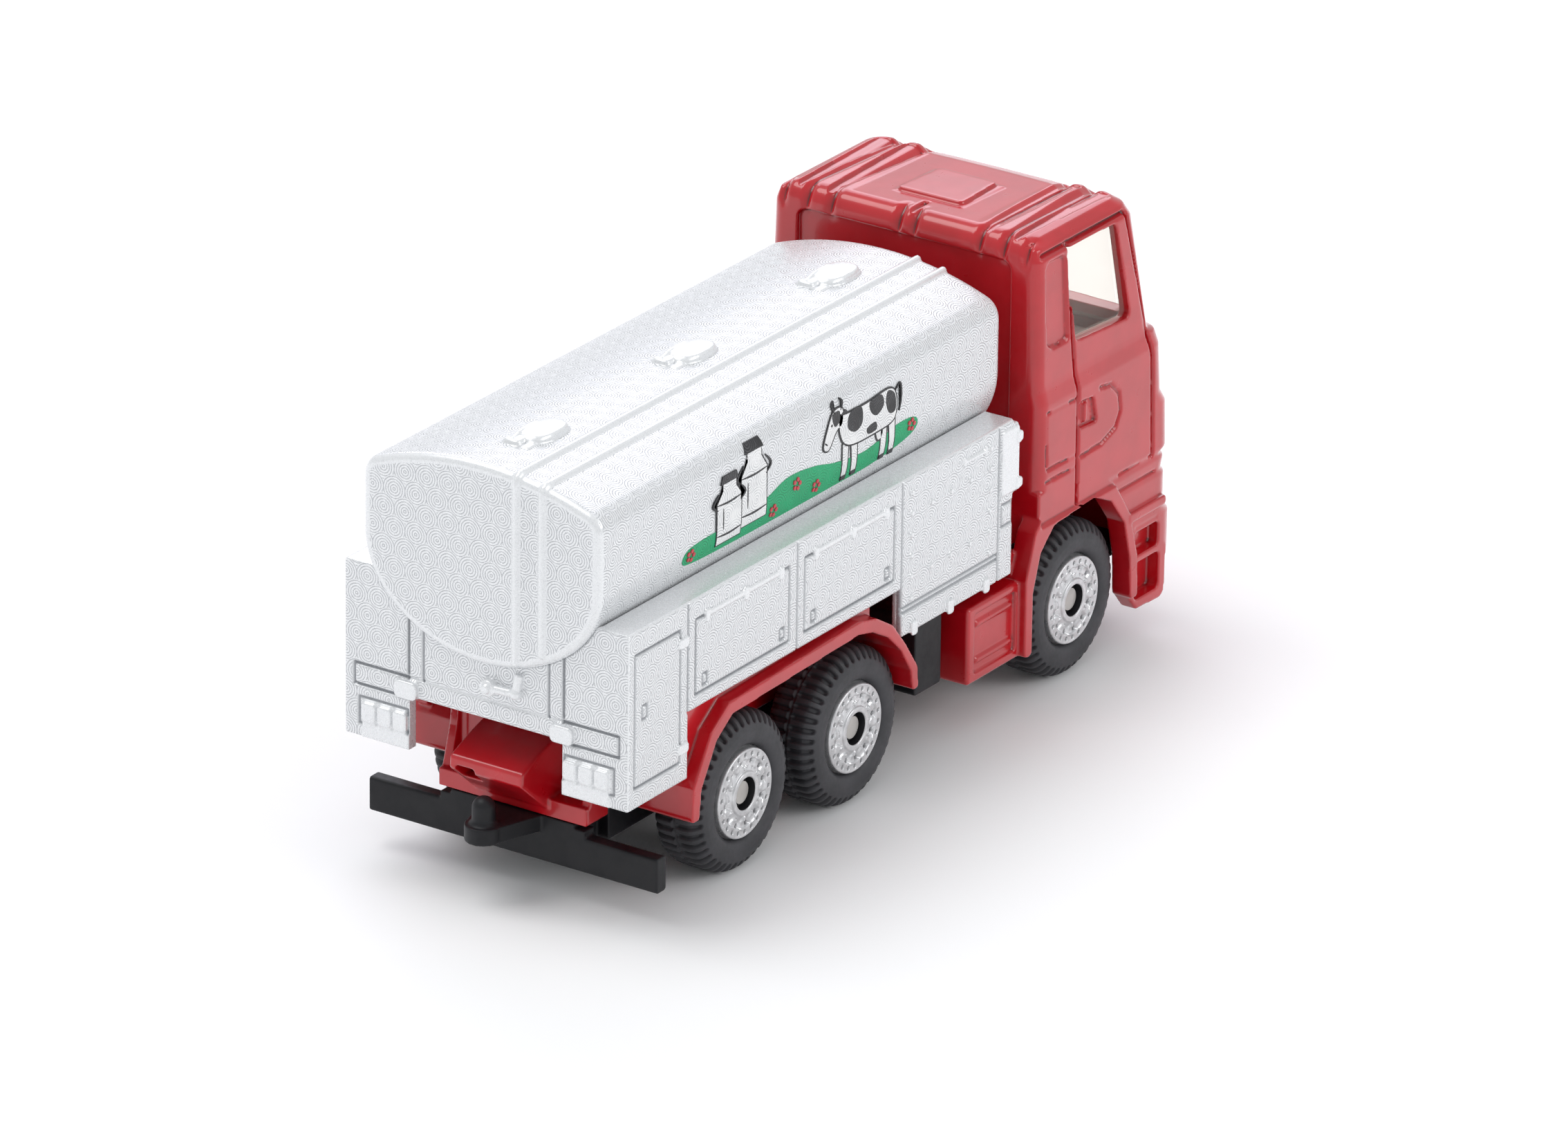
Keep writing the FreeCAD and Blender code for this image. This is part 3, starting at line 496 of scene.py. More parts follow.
def merged(name, parts):
    """One mesh in the row frame from several closed shapes in drawing millimetres."""
    points, faces, start = [], [], 0
    for spots, polygons in parts:
        points.append(spots)
        faces += [[i + start for i in f] for f in polygons]
        start += len(spots)
    mesh = bpy.data.meshes.new(name)
    mesh.from_pydata(placed(np.vstack(points)).tolist(), [], faces)
    return mesh


def tank_body():
    """The barrel with rounded end edges."""
    loop, out = tank_loop()
    rounding = np.linspace(0, math.pi / 2, 7)
    edge = [(END_R * (1 - math.sin(t)), END_R * (1 - math.cos(t))) for t in rounding]
    stations = [(TANK_REAR + back, inset) for back, inset in edge[::-1]]
    stations += [(TANK_FRONT - back, inset) for back, inset in edge]
    rows = []
    for x, inset in stations:
        ring = loop - out * inset
        rows.append(np.column_stack([np.full(len(ring), x), ring]))
    count = len(loop)
    points = np.vstack(rows)
    faces = grid_faces(len(rows), count)
    faces.append(list(range(count - 1, -1, -1)))
    faces.append(list(range(len(points) - count, len(points))))
    return points, faces


def rib(y, low):
    """A rounded rib up the rear end and forward along the crown."""
    top = crown_z(y)
    corner = [(TANK_REAR + 0.02, y, top - 1.2), (TANK_REAR + 0.1, y, top - 0.45),
              (TANK_REAR + 0.5, y, top - 0.08), (TANK_REAR + 1.3, y, top - 0.02)]
    path = [(TANK_REAR + 0.02, y, z) for z in np.linspace(low, top - 1.6, 18)]
    path += corner + [(x, y, top - 0.02) for x in np.linspace(TANK_REAR + 2, TANK_FRONT - 0.3, 30)]
    return tube(smooth_line(path, 0.5), RIB_R)


def lid(x):
    """Oval filler cover with its hinge block, lever and foot."""
    seat = crown_z(LID_Y)
    cover = dome((x, LID_Y, seat), 2.55, 1.5, 0.28, 0.72)
    hinge = dome((x - 2.9, LID_Y + 0.9, seat), 0.75, 0.85, 0.2, 0.5, 4.0)
    lever = tube([(x - 3.3, LID_Y + 0.9, seat + 0.4), (x - 1.5, LID_Y + 1.15, seat + 0.62),
                  (x + 0.6, LID_Y + 1.35, seat + 0.5), (x + 1.9, LID_Y + 1.5, seat + 0.2)], 0.2)
    foot = box(x - 3.6, x - 2.3, LID_Y - 0.9, LID_Y - 0.2, seat - 0.3, seat + 0.16)
    return [cover, hinge, lever, foot]


END_BAND = 0.8               # plain band round the rear end, inside its edge


def plain_tank(x, y, z):
    """Which points of the tank carry no discs: ribs, lids, rounded edge and the band round the rear end."""
    on_end = x < TANK_REAR + 0.05
    on_rib = np.zeros(len(x), bool)
    for rib_y, low in RIBS:
        on_rib |= (np.abs(y - rib_y) < RIB_R + 0.12) & (z > low - 0.5)
    crown = TANK_TOP - CROWN_R + np.sqrt(np.maximum(CROWN_R ** 2 - y * y, 0))
    above_crown = z > crown + 0.05
    rounded = (x > TANK_REAR + 0.05) & (x < TANK_REAR + END_R * 0.7)
    on_band = np.zeros(len(x), bool)
    (loop_y, loop_z), ends = tank_loop()[0].T, np.flatnonzero(on_end)
    for block in np.array_split(ends, max(1, len(ends) // 2000)):
        gap = np.hypot(y[block, None] - loop_y, z[block, None] - loop_z).min(1)
        on_band[block] = gap < END_BAND
    return on_rib | above_crown | rounded | on_band


def tank():
    parts = [tank_body()] + [rib(y, low) for y, low in RIBS]
    for x in LIDS_X:
        parts += lid(x)
    mesh = softened(merged("tank_raw", parts), "tank", 0.12 * FINE, 3, 240000)
    spots = vertex_values(mesh)
    x = (spots[:, 0] - ORIGIN_X) / MM
    y, z = spots[:, 1] / MM, spots[:, 2] / MM
    mark(mesh, "engraved", ~plain_tank(x, y, z))
    mesh.materials.append(SILVER_RINGS)
    obj = linked(bpy.data.objects.new("tank", mesh), "vehicle")
    weigh_normals(obj)
    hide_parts("tank_shell")
    return obj


# ---- locker body --------------------------------------------------------------------------------
HALF_WIDTH = 14.5
LOCKER_TOP, LOCKER_BOTTOM, CABINET_BOTTOM = 28.0, 18.1, 13.6
LINE_DEPTH, LEDGE_GAP = 0.2, 0.2
LOCKER_SEAMS = (8.75, 24.9, 40.8, 55.8)


def rectangle(x0, x1, z0, z1):
    return ((x0, z0), (x1, z0), (x1, z1), (x0, z1), (x0, z0))


def side_lines():
    """Engraved lines of the locker sides, as (x, z) paths."""
    lines = [((x, low), (x, LOCKER_TOP - 0.3)) for x, low in
             zip(LOCKER_SEAMS, (LOCKER_BOTTOM, LOCKER_BOTTOM, CABINET_BOTTOM, CABINET_BOTTOM))]
    lines += [rectangle(1.0, 7.6, 13.9, 25.9), rectangle(2.1, 2.8, 19.8, 21.0)]
    for x0, x1 in zip(LOCKER_SEAMS, LOCKER_SEAMS[1:3]):
        lines.append(rectangle(x0 + 1.1, x1 - 1.2, 19.3, 26.1))
        lines += [rectangle(x, x + 0.65, 19.85, 20.8) for x in (x0 + 2.15, x1 - 2.55)]
    lines += [((LOCKER_SEAMS[2], z), (LOCKER_SEAMS[3], z)) for z in (15.75, 16.2)]
    lines += [rectangle(56.3, 57.9, 18.5, 20.5), rectangle(56.65, 57.35, 23.6, 24.6)]
    return lines


def rear_lines():
    """Engraved lines of the locker rear, as (|y|, z) paths."""
    return [rectangle(7.9, 13.5, 16.8, 18.7), ((7.9, 19.0), (7.9, LOCKER_TOP - 2)),
            ((0.0, 16.8), (7.9, 16.8)), ((6.4, 18.7), (6.4, LOCKER_TOP - 4)),
            rectangle(8.0, 13.0, 13.3, 15.7)]


def line_marks(spots):
    """1 on the engraved lines of the locker body, fading to 0 beside them."""
    x, y, z = spots[:, 0], np.abs(spots[:, 1]), spots[:, 2]
    marks = np.zeros(len(x))
    for across, lines, skin in ((x, side_lines(), (y > HALF_WIDTH - 0.5) & (y < HALF_WIDTH + 0.06)),
                                (y, rear_lines(), (x < 0.5) & (x > -0.06) & (y < HALF_WIDTH - 0.3))):
        for path in lines:
            near = line_distance(across[skin], z[skin], path)
            marks[skin] = np.maximum(marks[skin], 1 - smoothstep(near, 0.07, 0.19))
    return marks


def shape_lockers(spots):
    """Deepen the engraved lines, and leave a narrow gap between the top ledges and the tank."""
    marks = line_marks(spots)
    x, y, z = spots.T.copy()
    on_side = np.abs(y) > HALF_WIDTH - 0.5
    spots[:, 1] = np.where(on_side, np.sign(y) * (np.abs(y) - LINE_DEPTH * marks), y)
    spots[:, 0] = np.where((x < 0.5) & ~on_side, x + LINE_DEPTH * marks, x)
    below = np.clip(BELLY_Z - z, 0, None) / BELLY_DEPTH
    belly = TANK_HALF * np.sqrt(np.clip(1 - below ** 2, 0, 1)) + LEDGE_GAP
    touching = (z > LOCKER_TOP - 0.9) & (np.abs(y) < belly) & (x > 0.6)
    spots[:, 1] = np.where(touching, np.sign(y) * belly, spots[:, 1])


def lockers():
    obj = soft_node("locker_body", "lockers", 0.1, 2, 360000, SILVER_RINGS,
                    shape_lockers)
    spots = vertex_values(obj.data) / MM
    spots[:, 0] -= ORIGIN_X / MM
    x, y, z = spots[:, 0], np.abs(spots[:, 1]), spots[:, 2]
    on_side = np.abs(y - HALF_WIDTH) < 0.05
    on_lamp = (y > 7.8) & (y < 12.7) & (z < 15.7)
    on_rear = (np.abs(x) < 0.05) & ~on_lamp
    line_shade = line_marks(spots)
    mark(obj.data, "engraved", (on_side | on_rear) & (line_shade < 0.1))
    # This value puts painted shade along the engraved lines.
    mark(obj.data, "line_shade", line_shade)
    weigh_normals(obj)
    return obj


# ---- cab and chassis casting --------------------------------------------------------------------
CAB_REAR, ROOF_FRONT, ROOF_TOP = 62.2, 76.0, 42.6
REAR_CORNER_R, ROOF_CORNER_R = 1.3, 1.7
# half width of the cab at each height
CAB_SIDE = ((0.0, 27.4, 28.7, 40.6, 41.7, 42.3, 42.6), (14.5, 14.5, 14.2, 13.85, 13.4, 12.6, 11.5))
# valleys between the roof's ridges: distance from the centre plane at the rear and at the front, then
# half width and depth at the front
VALLEYS = ((7.7, 7.1, 0.95, 0.5), (10.2, 9.9, 0.8, 0.42))
ROOF_FALL = 0.42             # fall of the roof's middle from rear to front
SCALLOPS = (-12.6, -10.2, -7.7, -0.9, 0.7, 7.7, 10.2, 12.6)
SCALLOP_HALF = 0.8
# seams of the door and the roof, as (x, z) paths
SEAMS = (((67.2, 41.2), (67.7, 32.6), (68.0, 29.4), (68.2, 27.2), (68.3, 16.6)),
         ((76.3, 41.0), (79.4, 30.2), (79.6, 28.6), (80.1, 26.6), (80.5, 17.1)),
         ((63.3, 41.1), (76.1, 41.15)))
SEAM_DEPTH = 0.5
# sunk panel of the post behind the door
POST_X, POST_Z, POST_HALF_X, POST_HALF_Z, POST_LEAN, POST_DEPTH = 65.5, 36.3, 0.9, 3.4, 0.04, 0.42


def round_corner(u, v, radius, chosen):
    """Turn a square corner into a round one; u and v are the depths below its two faces."""
    du, dv = radius - u, radius - v
    reach = np.hypot(du, dv)
    outside = chosen & (du > 0) & (dv > 0) & (reach > radius)
    pull = np.where(outside, radius / np.maximum(reach, 1e-6), 1.0)
    return np.where(outside, radius - du * pull, u), np.where(outside, radius - dv * pull, v)


def shape_cab(spots):
    """Round the cab's rear edges; press in its seams, the post's panel, the roof's valleys and scallops."""
    x, y, z = spots.T.copy()
    cab = (x > CAB_REAR - 0.3) & (x < ROOF_FRONT + 3) & (z > 19.5)
    side = np.interp(z, *CAB_SIDE)
    depth, inward = round_corner(x - CAB_REAR, side - np.abs(y), REAR_CORNER_R, cab & (z < 42.3))
    skin = (x > CAB_REAR) & (inward < 0.6) & (z > 16.5)
    gap = np.zeros(len(x))
    for path in SEAMS:
        gap = np.maximum(gap, 1 - smoothstep(line_distance(x, z, path), 0.10, 0.24))
    post = np.hypot(np.maximum(np.abs(x - POST_X + (z - POST_Z) * POST_LEAN) - POST_HALF_X, 0),
                    np.maximum(np.abs(z - POST_Z) - POST_HALF_Z, 0))
    sunk = np.maximum(SEAM_DEPTH * gap, POST_DEPTH * (1 - smoothstep(post, 0.35, 0.85)))
    inward = np.where(skin, np.maximum(inward, sunk), inward)
    x, y = CAB_REAR + depth, np.sign(y) * (side - inward)
    roof = cab & (z > 39.5)
    forward = np.clip((x - CAB_REAR - 0.6) / (ROOF_FRONT - CAB_REAR), 0, 1.05)
    drop = ROOF_FALL * forward * (1 - smoothstep(np.abs(y), 6.3, 7.4))
    for rear_y, front_y, half, deep in VALLEYS:
        centre = rear_y + (front_y - rear_y) * forward
        width = 0.28 + half * forward
        valley = smoothstep(1 - np.abs(np.abs(y) - centre) / width, 0, 1)
        drop = np.maximum(drop, valley * (0.22 + deep * forward))
    high = smoothstep(z, 41.3, 42.2) * ((x < ROOF_FRONT + 2.5) & (np.abs(y) < 13.4))
    on_hatch = (z > ROOF_TOP + 0.06) | ((np.abs(y) < 3.6) & (x > 66.0) & (x < 72.6))
    drop = np.where(on_hatch, ROOF_FALL * forward * 0.6, drop)
    z = np.where(roof, z - drop * high, z)
    depth, down = round_corner(x - CAB_REAR, ROOF_TOP - z, ROOF_CORNER_R, roof & (x < CAB_REAR + 2))
    x, z = np.where(roof, CAB_REAR + depth, x), np.where(roof, ROOF_TOP - down, z)
    near = np.abs(y[:, None] - np.array(SCALLOPS)).min(1)
    notch = np.clip(1 - near / SCALLOP_HALF, 0, 1) ** 2
    brow = smoothstep(z, 39.6, 41.6) * (1 - smoothstep(x, CAB_REAR + 0.6, CAB_REAR + 2.4)) * roof
    spots[:, 0] = x + 0.5 * notch * brow
    spots[:, 1] = y
    spots[:, 2] = z - 0.3 * notch * brow


def casting():
    obj = soft_node("cab_chassis_casting", "cab_and_chassis", 0.125, 3, 440000, RED,
                    shape_cab)
    weigh_normals(obj)
    return obj


# ---- base plate ---------------------------------------------------------------------------------
def base():
    obj = soft_node("base_plate", "base", 0.11, 3, 140000, BLACK)
    weigh_normals(obj)
    return obj


# ---- printed decoration -------------------------------------------------------------------------
INK_BLACK = ink("ink_black", (0.014, 0.014, 0.016, 1), (0.09, 0.09, 0.095, 1))
INK_WHITE = ink("ink_white", (0.88, 0.88, 0.88, 1), (0.52, 0.53, 0.55, 1))
INK_GREEN = ink("ink_green", (0.001, 0.38, 0.15, 1), (0.005, 0.25, 0.10, 1))
INK_RED = ink("ink_red", (0.62, 0.05, 0.07, 1), (0.45, 0.10, 0.11, 1))
INK_GAP = 0.05               # first layer above the tank's surface
INK_LAYER = 0.014            # each further layer
INK_ROOT = -0.1              # back of each sheet, inside the tank
LINE = 0.16                  # half width of a drawn line


def printed(name, outlines, ink_material, layer):
    """Thin closed sheets of ink on both sides of the tank, from closed (x, z) outlines."""
    work = bmesh.new()
    for outline in outlines:
        corners = [work.verts.new((x, 0, z)) for x, z in outline]
        work.faces.new(corners)
    bmesh.ops.triangulate(work, faces=work.faces[:], ngon_method="EAR_CLIP")
    belly_cuts, shoulder_cuts = np.arange(24.0, BELLY_Z + 0.1, 0.5), np.arange(TURN_Z, TURN_Z + 1.9, 0.2)
    for z in np.concatenate([belly_cuts, shoulder_cuts]):
        bmesh.ops.bisect_plane(work, geom=work.verts[:] + work.edges[:] + work.faces[:], dist=1e-5,
                               plane_co=(0, 0, z), plane_no=(0, 0, 1))
    flat = [(v.co.x, v.co.z) for v in work.verts]
    work.verts.index_update()
    polygons = [[v.index for v in f.verts] for f in work.faces]
    rim = [[v.index for v in e.verts] for e in work.edges if len(e.link_faces) == 1]
    work.free()
    count = len(flat)
    points, faces = [], []
    for side in (-1, 1):
        start = len(points)
        for lift in (INK_GAP + INK_LAYER * layer, INK_ROOT):
            points += [(x, side * (side_y(z) + lift), z) for x, z in flat]
        faces += [[i + start for i in f] for f in polygons]
        faces += [[i + start + count for i in reversed(f)] for f in polygons]
        faces += [[a + start, b + start, b + start + count, a + start + count] for a, b in rim]
    mesh = bpy.data.meshes.new(name)
    mesh.from_pydata(placed(points).tolist(), [], faces)
    mesh.materials.append(ink_material)
    work = bmesh.new()
    work.from_mesh(mesh)
    bmesh.ops.recalc_face_normals(work, faces=work.faces[:])
    work.to_mesh(mesh)
    work.free()
    mesh.shade_flat()
    linked(bpy.data.objects.new(name, mesh), "vehicle")


def blob(points, step=0.2):
    return [tuple(p) for p in smooth_line(points, step, closed=True)]


def stroke(points, width, step=0.25):
    """Outline of a line with tapered ends."""
    path = smooth_line(points, step)
    along = np.gradient(path, axis=0)
    along /= np.linalg.norm(along, axis=1)[:, None]
    side = np.stack([-along[:, 1], along[:, 0]], 1)
    t = np.linspace(0, 1, len(path))
    half = width * (0.35 + 0.65 * np.sin(math.pi * t)) / 2
    left, right = path + side * half[:, None], path - side * half[:, None]
    return [tuple(p) for p in np.vstack([left, right[::-1]])]


def grown(points, by):
    """A closed outline moved outward by the given amount."""
    p = np.asarray(points)
    along = np.roll(p, -1, 0) - np.roll(p, 1, 0)
    out = np.stack([along[:, 1], -along[:, 0]], 1)
    out /= np.maximum(np.linalg.norm(out, axis=1), 1e-9)[:, None]
    area = 0.5 * np.sum(p[:, 0] * np.roll(p[:, 1], -1) - np.roll(p[:, 0], -1) * p[:, 1])
    return [tuple(q) for q in p + out * by * math.copysign(1, area)]


COW_BODY = ((-3.6, 3.4), (-2.6, 3.15), (0.5, 3.1), (3.6, 3.3), (4.6, 2.6), (4.7, 1.0), (4.0, 0.3),
            (1.6, 0.15), (-1.2, 0.2), (-2.6, 0.6), (-3.3, 1.6))
COW_HEAD = ((-3.2, 3.9), (-3.1, 2.6), (-4.0, 2.1), (-5.0, 0.9), (-5.7, 1.2), (-5.2, 2.6), (-4.4, 3.9))
# each leg: x at the top, height of its hind edge, lean at the hoof
COW_LEGS = ((-2.5, 1.4, -0.15), (-1.3, 1.2, 0.1), (3.0, 1.0, -0.1), (4.15, 1.2, 0.1))
COW_PATCHES = (((-2.0, 3.1), (-0.4, 3.1), (-0.2, 1.7), (-1.2, 1.2), (-2.3, 1.9)),
               ((0.9, 3.1), (2.5, 3.2), (2.9, 2.2), (1.9, 1.6), (1.0, 2.2)),
               ((3.5, 3.2), (4.5, 2.6), (4.6, 1.2), (3.7, 1.2), (3.2, 2.3)),
               ((0.5, 0.9), (1.7, 1.1), (1.9, 0.4), (0.7, 0.35)),
               ((-4.6, 3.7), (-3.6, 3.8), (-3.5, 2.9), (-4.2, 2.6)))
# tail, horns, ear, eye and nostril: a line and its width
COW_MARKS = ((((4.6, 2.9), (5.3, 3.3), (5.45, 2.0), (5.2, 0.9)), 0.26),
             (((-4.3, 3.8), (-4.6, 4.5), (-4.2, 4.8)), 0.26),
             (((-3.4, 3.8), (-3.1, 4.5), (-3.4, 4.8)), 0.26),
             (((-3.3, 3.3), (-2.7, 3.5), (-2.4, 3.2)), 0.3),
             (((-4.75, 2.85), (-4.5, 2.8)), 0.3), (((-5.6, 1.6), (-5.2, 1.3)), 0.16))


def cow(x, z, size):
    """A plain cow that stands side-on: white shapes, dark patches and dark lines."""
    def local(points):
        return [(x + a * size, z + b * size) for a, b in points]
    legs = [local(((a - 0.42, 0.6), (a - 0.3 + lean, -2.5), (a + 0.32 + lean, -2.5), (a + 0.42, b)))
            for a, b, lean in COW_LEGS]
    udder = blob(local(((1.9, 0.4), (2.8, 0.4), (2.7, -0.5), (2.1, -0.6))))
    shapes = legs + [udder, blob(local(COW_BODY)), blob(local(COW_HEAD))]
    hooves = [local(((foot - 0.32, -2.6), (foot - 0.3, -2.2), (foot + 0.34, -2.2), (foot + 0.36, -2.6)))
              for foot in (a + lean for a, _, lean in COW_LEGS)]
    marks = [stroke(local(points), width) for points, width in COW_MARKS]
    return shapes, [blob(local(p)) for p in COW_PATCHES] + hooves + marks


def churn(x, z, height, width):
    """A plain milk churn: straight body, sloping shoulder, neck and lid."""
    half, neck = width / 2, width * 0.27
    shoulder, collar, lid_low = z + height * 0.62, z + height * 0.78, z + height * 0.88
    body = [(x - half, z), (x + half, z), (x + half, shoulder), (x + neck, collar), (x + neck, lid_low),
            (x - neck, lid_low), (x - neck, collar), (x - half, shoulder)]
    cap = [(x - neck * 1.35, lid_low), (x + neck * 1.35, lid_low), (x + neck * 1.1, z + height),
           (x - neck * 1.1, z + height)]
    lines = [stroke([(x - half, z + height * k), (x, z + height * k - 0.12), (x + half, z + height * k)], 0.2)
             for k in (0.13, 0.6)]
    grips = [stroke([(x + s * half * 0.95, z + height * 0.52), (x + s * half * 1.35, z + height * 0.62),
                     (x + s * neck * 1.6, z + height * 0.76)], 0.24) for s in (-1, 1)]
    shine = [stroke([(x - half * 0.5, z + height * 0.2), (x - half * 0.5, z + height * 0.52)], 0.16)]
    return body, cap, lines + grips + shine


PETALS, PETAL_REACH, PETAL_R = 5, 0.42, 0.2


def decoration():
    meadow = blob([(11.4, 29.9), (13.5, 29.5), (19.0, 29.35), (26.0, 29.3), (33.0, 29.3), (40.0, 29.4),
                   (45.6, 30.3), (46.2, 31.6), (43.4, 31.9), (38.5, 31.1), (34.2, 31.5), (30.6, 32.3),
                   (26.8, 32.6), (23.6, 31.8), (20.0, 31.1), (15.6, 31.3), (12.0, 31.0)], 0.4)
    printed("print_meadow", [meadow], INK_GREEN, 0)
    layers, dark = cow(38.0, 32.2, 1.05)
    for height, shape in enumerate(layers):
        near = 2 if height > 4 else 0
        printed("print_cow_outline_%d" % height, [grown(shape, LINE)], INK_BLACK, 1 + near)
        printed("print_cow_%d" % height, [shape], INK_WHITE, 2 + near)
    for level, (name, spot) in enumerate((("far", (21.6, 30.4, 7.3, 3.7)), ("near", (17.9, 30.0, 6.0, 3.5)))):
        shape, cap, lines = churn(*spot)
        printed("print_outline_" + name, [grown(shape, LINE)], INK_BLACK, 1 + 3 * level)
        printed("print_fill_" + name, [shape], INK_WHITE, 2 + 3 * level)
        printed("print_lines_" + name, [cap] + lines, INK_BLACK, 3 + 3 * level)
    printed("print_cow_marks", dark, INK_BLACK, 5)
    petals = []
    for x, z in ((12.4, 30.4), (24.6, 30.3), (28.0, 31.6), (31.0, 30.4), (45.4, 31.2)):
        for turn in np.linspace(0, 2 * math.pi, PETALS, endpoint=False):
            petal_x, petal_z = x + PETAL_REACH * math.cos(turn), z + PETAL_REACH * math.sin(turn)
            petals.append([(petal_x + PETAL_R * math.cos(a), petal_z + PETAL_R * math.sin(a))
                           for a in np.linspace(0, 2 * math.pi, 10, endpoint=False)])
    printed("print_flowers", petals, INK_RED, 7)


# ---- wheels -------------------------------------------------------------------------------------
TYRE_R, TYRE_OUTER, TYRE_INNER, BEAD_R = 7.14, 13.95, 8.9, 4.16
LUGS = 45
NOTCH_NEAR, NOTCH_FAR = 0.42, 2.55       # a notch's straight part, along the profile from the middle
NOTCH_DEPTH, GUTTER_DEPTH, LIP = 0.42, 0.18, 0.03
RIM_HOLES, DISH_HOLES, NUTS = 22, 12, 6
HOLE_R, DISH_R = 3.5, 2.86               # circles that the two rows of holes lie on


def turned_grid(name, radius, depth, turns, materials):
    """Mesh of a body of revolution about y whose radius and depth vary with the angle."""
    x, z = radius * np.cos(turns), radius * np.sin(turns)
    points = np.stack([x, -depth, z], -1).reshape(-1, 3) * MM
    rows, columns = radius.shape
    mesh = bpy.data.meshes.new(name)
    mesh.from_pydata(points.tolist(), [], grid_faces(rows, columns, closed=True))
    for material in materials:
        mesh.materials.append(material)
    mesh.shade_smooth()
    return mesh


def tyre_mesh():
    """Right-hand tyre about its hub: bulged walls, two staggered rows of round-ended shoulder notches."""
    o, i, r = TYRE_OUTER, TYRE_INNER, TYRE_R
    profile = [(BEAD_R, i + 0.5), (BEAD_R, o - 1.0), (BEAD_R + 0.02, o - 0.62), (BEAD_R + 0.12, o - 0.38),
               (BEAD_R + 0.4, o - 0.13), (5.0, o - 0.01), (5.7, o - 0.02), (6.2, o - 0.16), (6.6, o - 0.38),
               (6.9, o - 0.68), (7.08, o - 1.02), (r, o - 1.5), (r, o - 2.1), (r, (o + i) / 2), (r, i + 2.0),
               (r, i + 1.4), (7.08, i + 0.95), (6.9, i + 0.6), (6.5, i + 0.3), (5.8, i + 0.02), (5.0, i),
               (BEAD_R + 0.4, i + 0.08)]
    line = smooth_line(profile, 0.11, closed=True)
    line = np.clip(line, (BEAD_R, i), (r, o))
    along = np.roll(line, -1, 0) - np.roll(line, 1, 0)
    out = np.stack([-along[:, 1], along[:, 0]], 1)
    out /= np.maximum(np.linalg.norm(out, axis=1), 1e-9)[:, None]
    centre = line.mean(0)
    flip = np.sign(np.sum(out * (line - centre), 1))
    out *= flip[:, None]
    step = np.linalg.norm(np.roll(line, -1, 0) - line, axis=1)
    travel = np.concatenate([[0], np.cumsum(step)[:-1]])
    crest = np.flatnonzero(line[:, 0] > r - 0.001)
    middle = travel[crest[np.argmin(np.abs(line[crest, 1] - (o + i) / 2))]]
    from_middle = travel - middle
    columns = LUGS * 14
    turns = np.linspace(0, 2 * math.pi, columns, endpoint=False)
    sink = np.zeros((len(line), columns))
    pitch = 2 * math.pi / LUGS
    for side, shift in ((-1, 0.0), (1, 0.5)):
        s = side * from_middle
        phase = (turns / pitch + shift) % 1.0 - 0.5
        across = phase * pitch * 6.9
        beyond = np.maximum(np.maximum(s - NOTCH_FAR, NOTCH_NEAR - s), 0)[:, None]
        reach = np.hypot(beyond, across[None, :])
        notch = 1 - smoothstep(reach, 0.16, 0.30)
        sink = np.maximum(sink, notch * (s > 0)[:, None] * NOTCH_DEPTH)
    gutter = 1 - smoothstep(np.abs(from_middle), 0.08, 0.2)
    sink = np.maximum(sink, gutter[:, None] * GUTTER_DEPTH)
    lip = np.exp(-((from_middle + 3.45) / 0.1) ** 2) * LIP
    sink = sink - lip[:, None]
    radius = line[:, 0, None] - out[:, 0, None] * sink
    depth = line[:, 1, None] - out[:, 1, None] * sink
    radius = np.minimum(radius, r)
    depth = np.minimum(depth, o)
    return turned_grid("tyre", radius, depth, turns[None, :], [RUBBER])


def ring_of(turns, radius, count, at_radius, size, phase=0.0):
    """0 to 1 round dots, evenly spaced on a circle."""
    pitch = 2 * math.pi / count
    angle = (turns / pitch + phase) % 1.0 - 0.5
    reach = np.hypot(angle * pitch * at_radius, radius - at_radius)
    return 1 - smoothstep(reach, size * 0.55, size * 1.15)


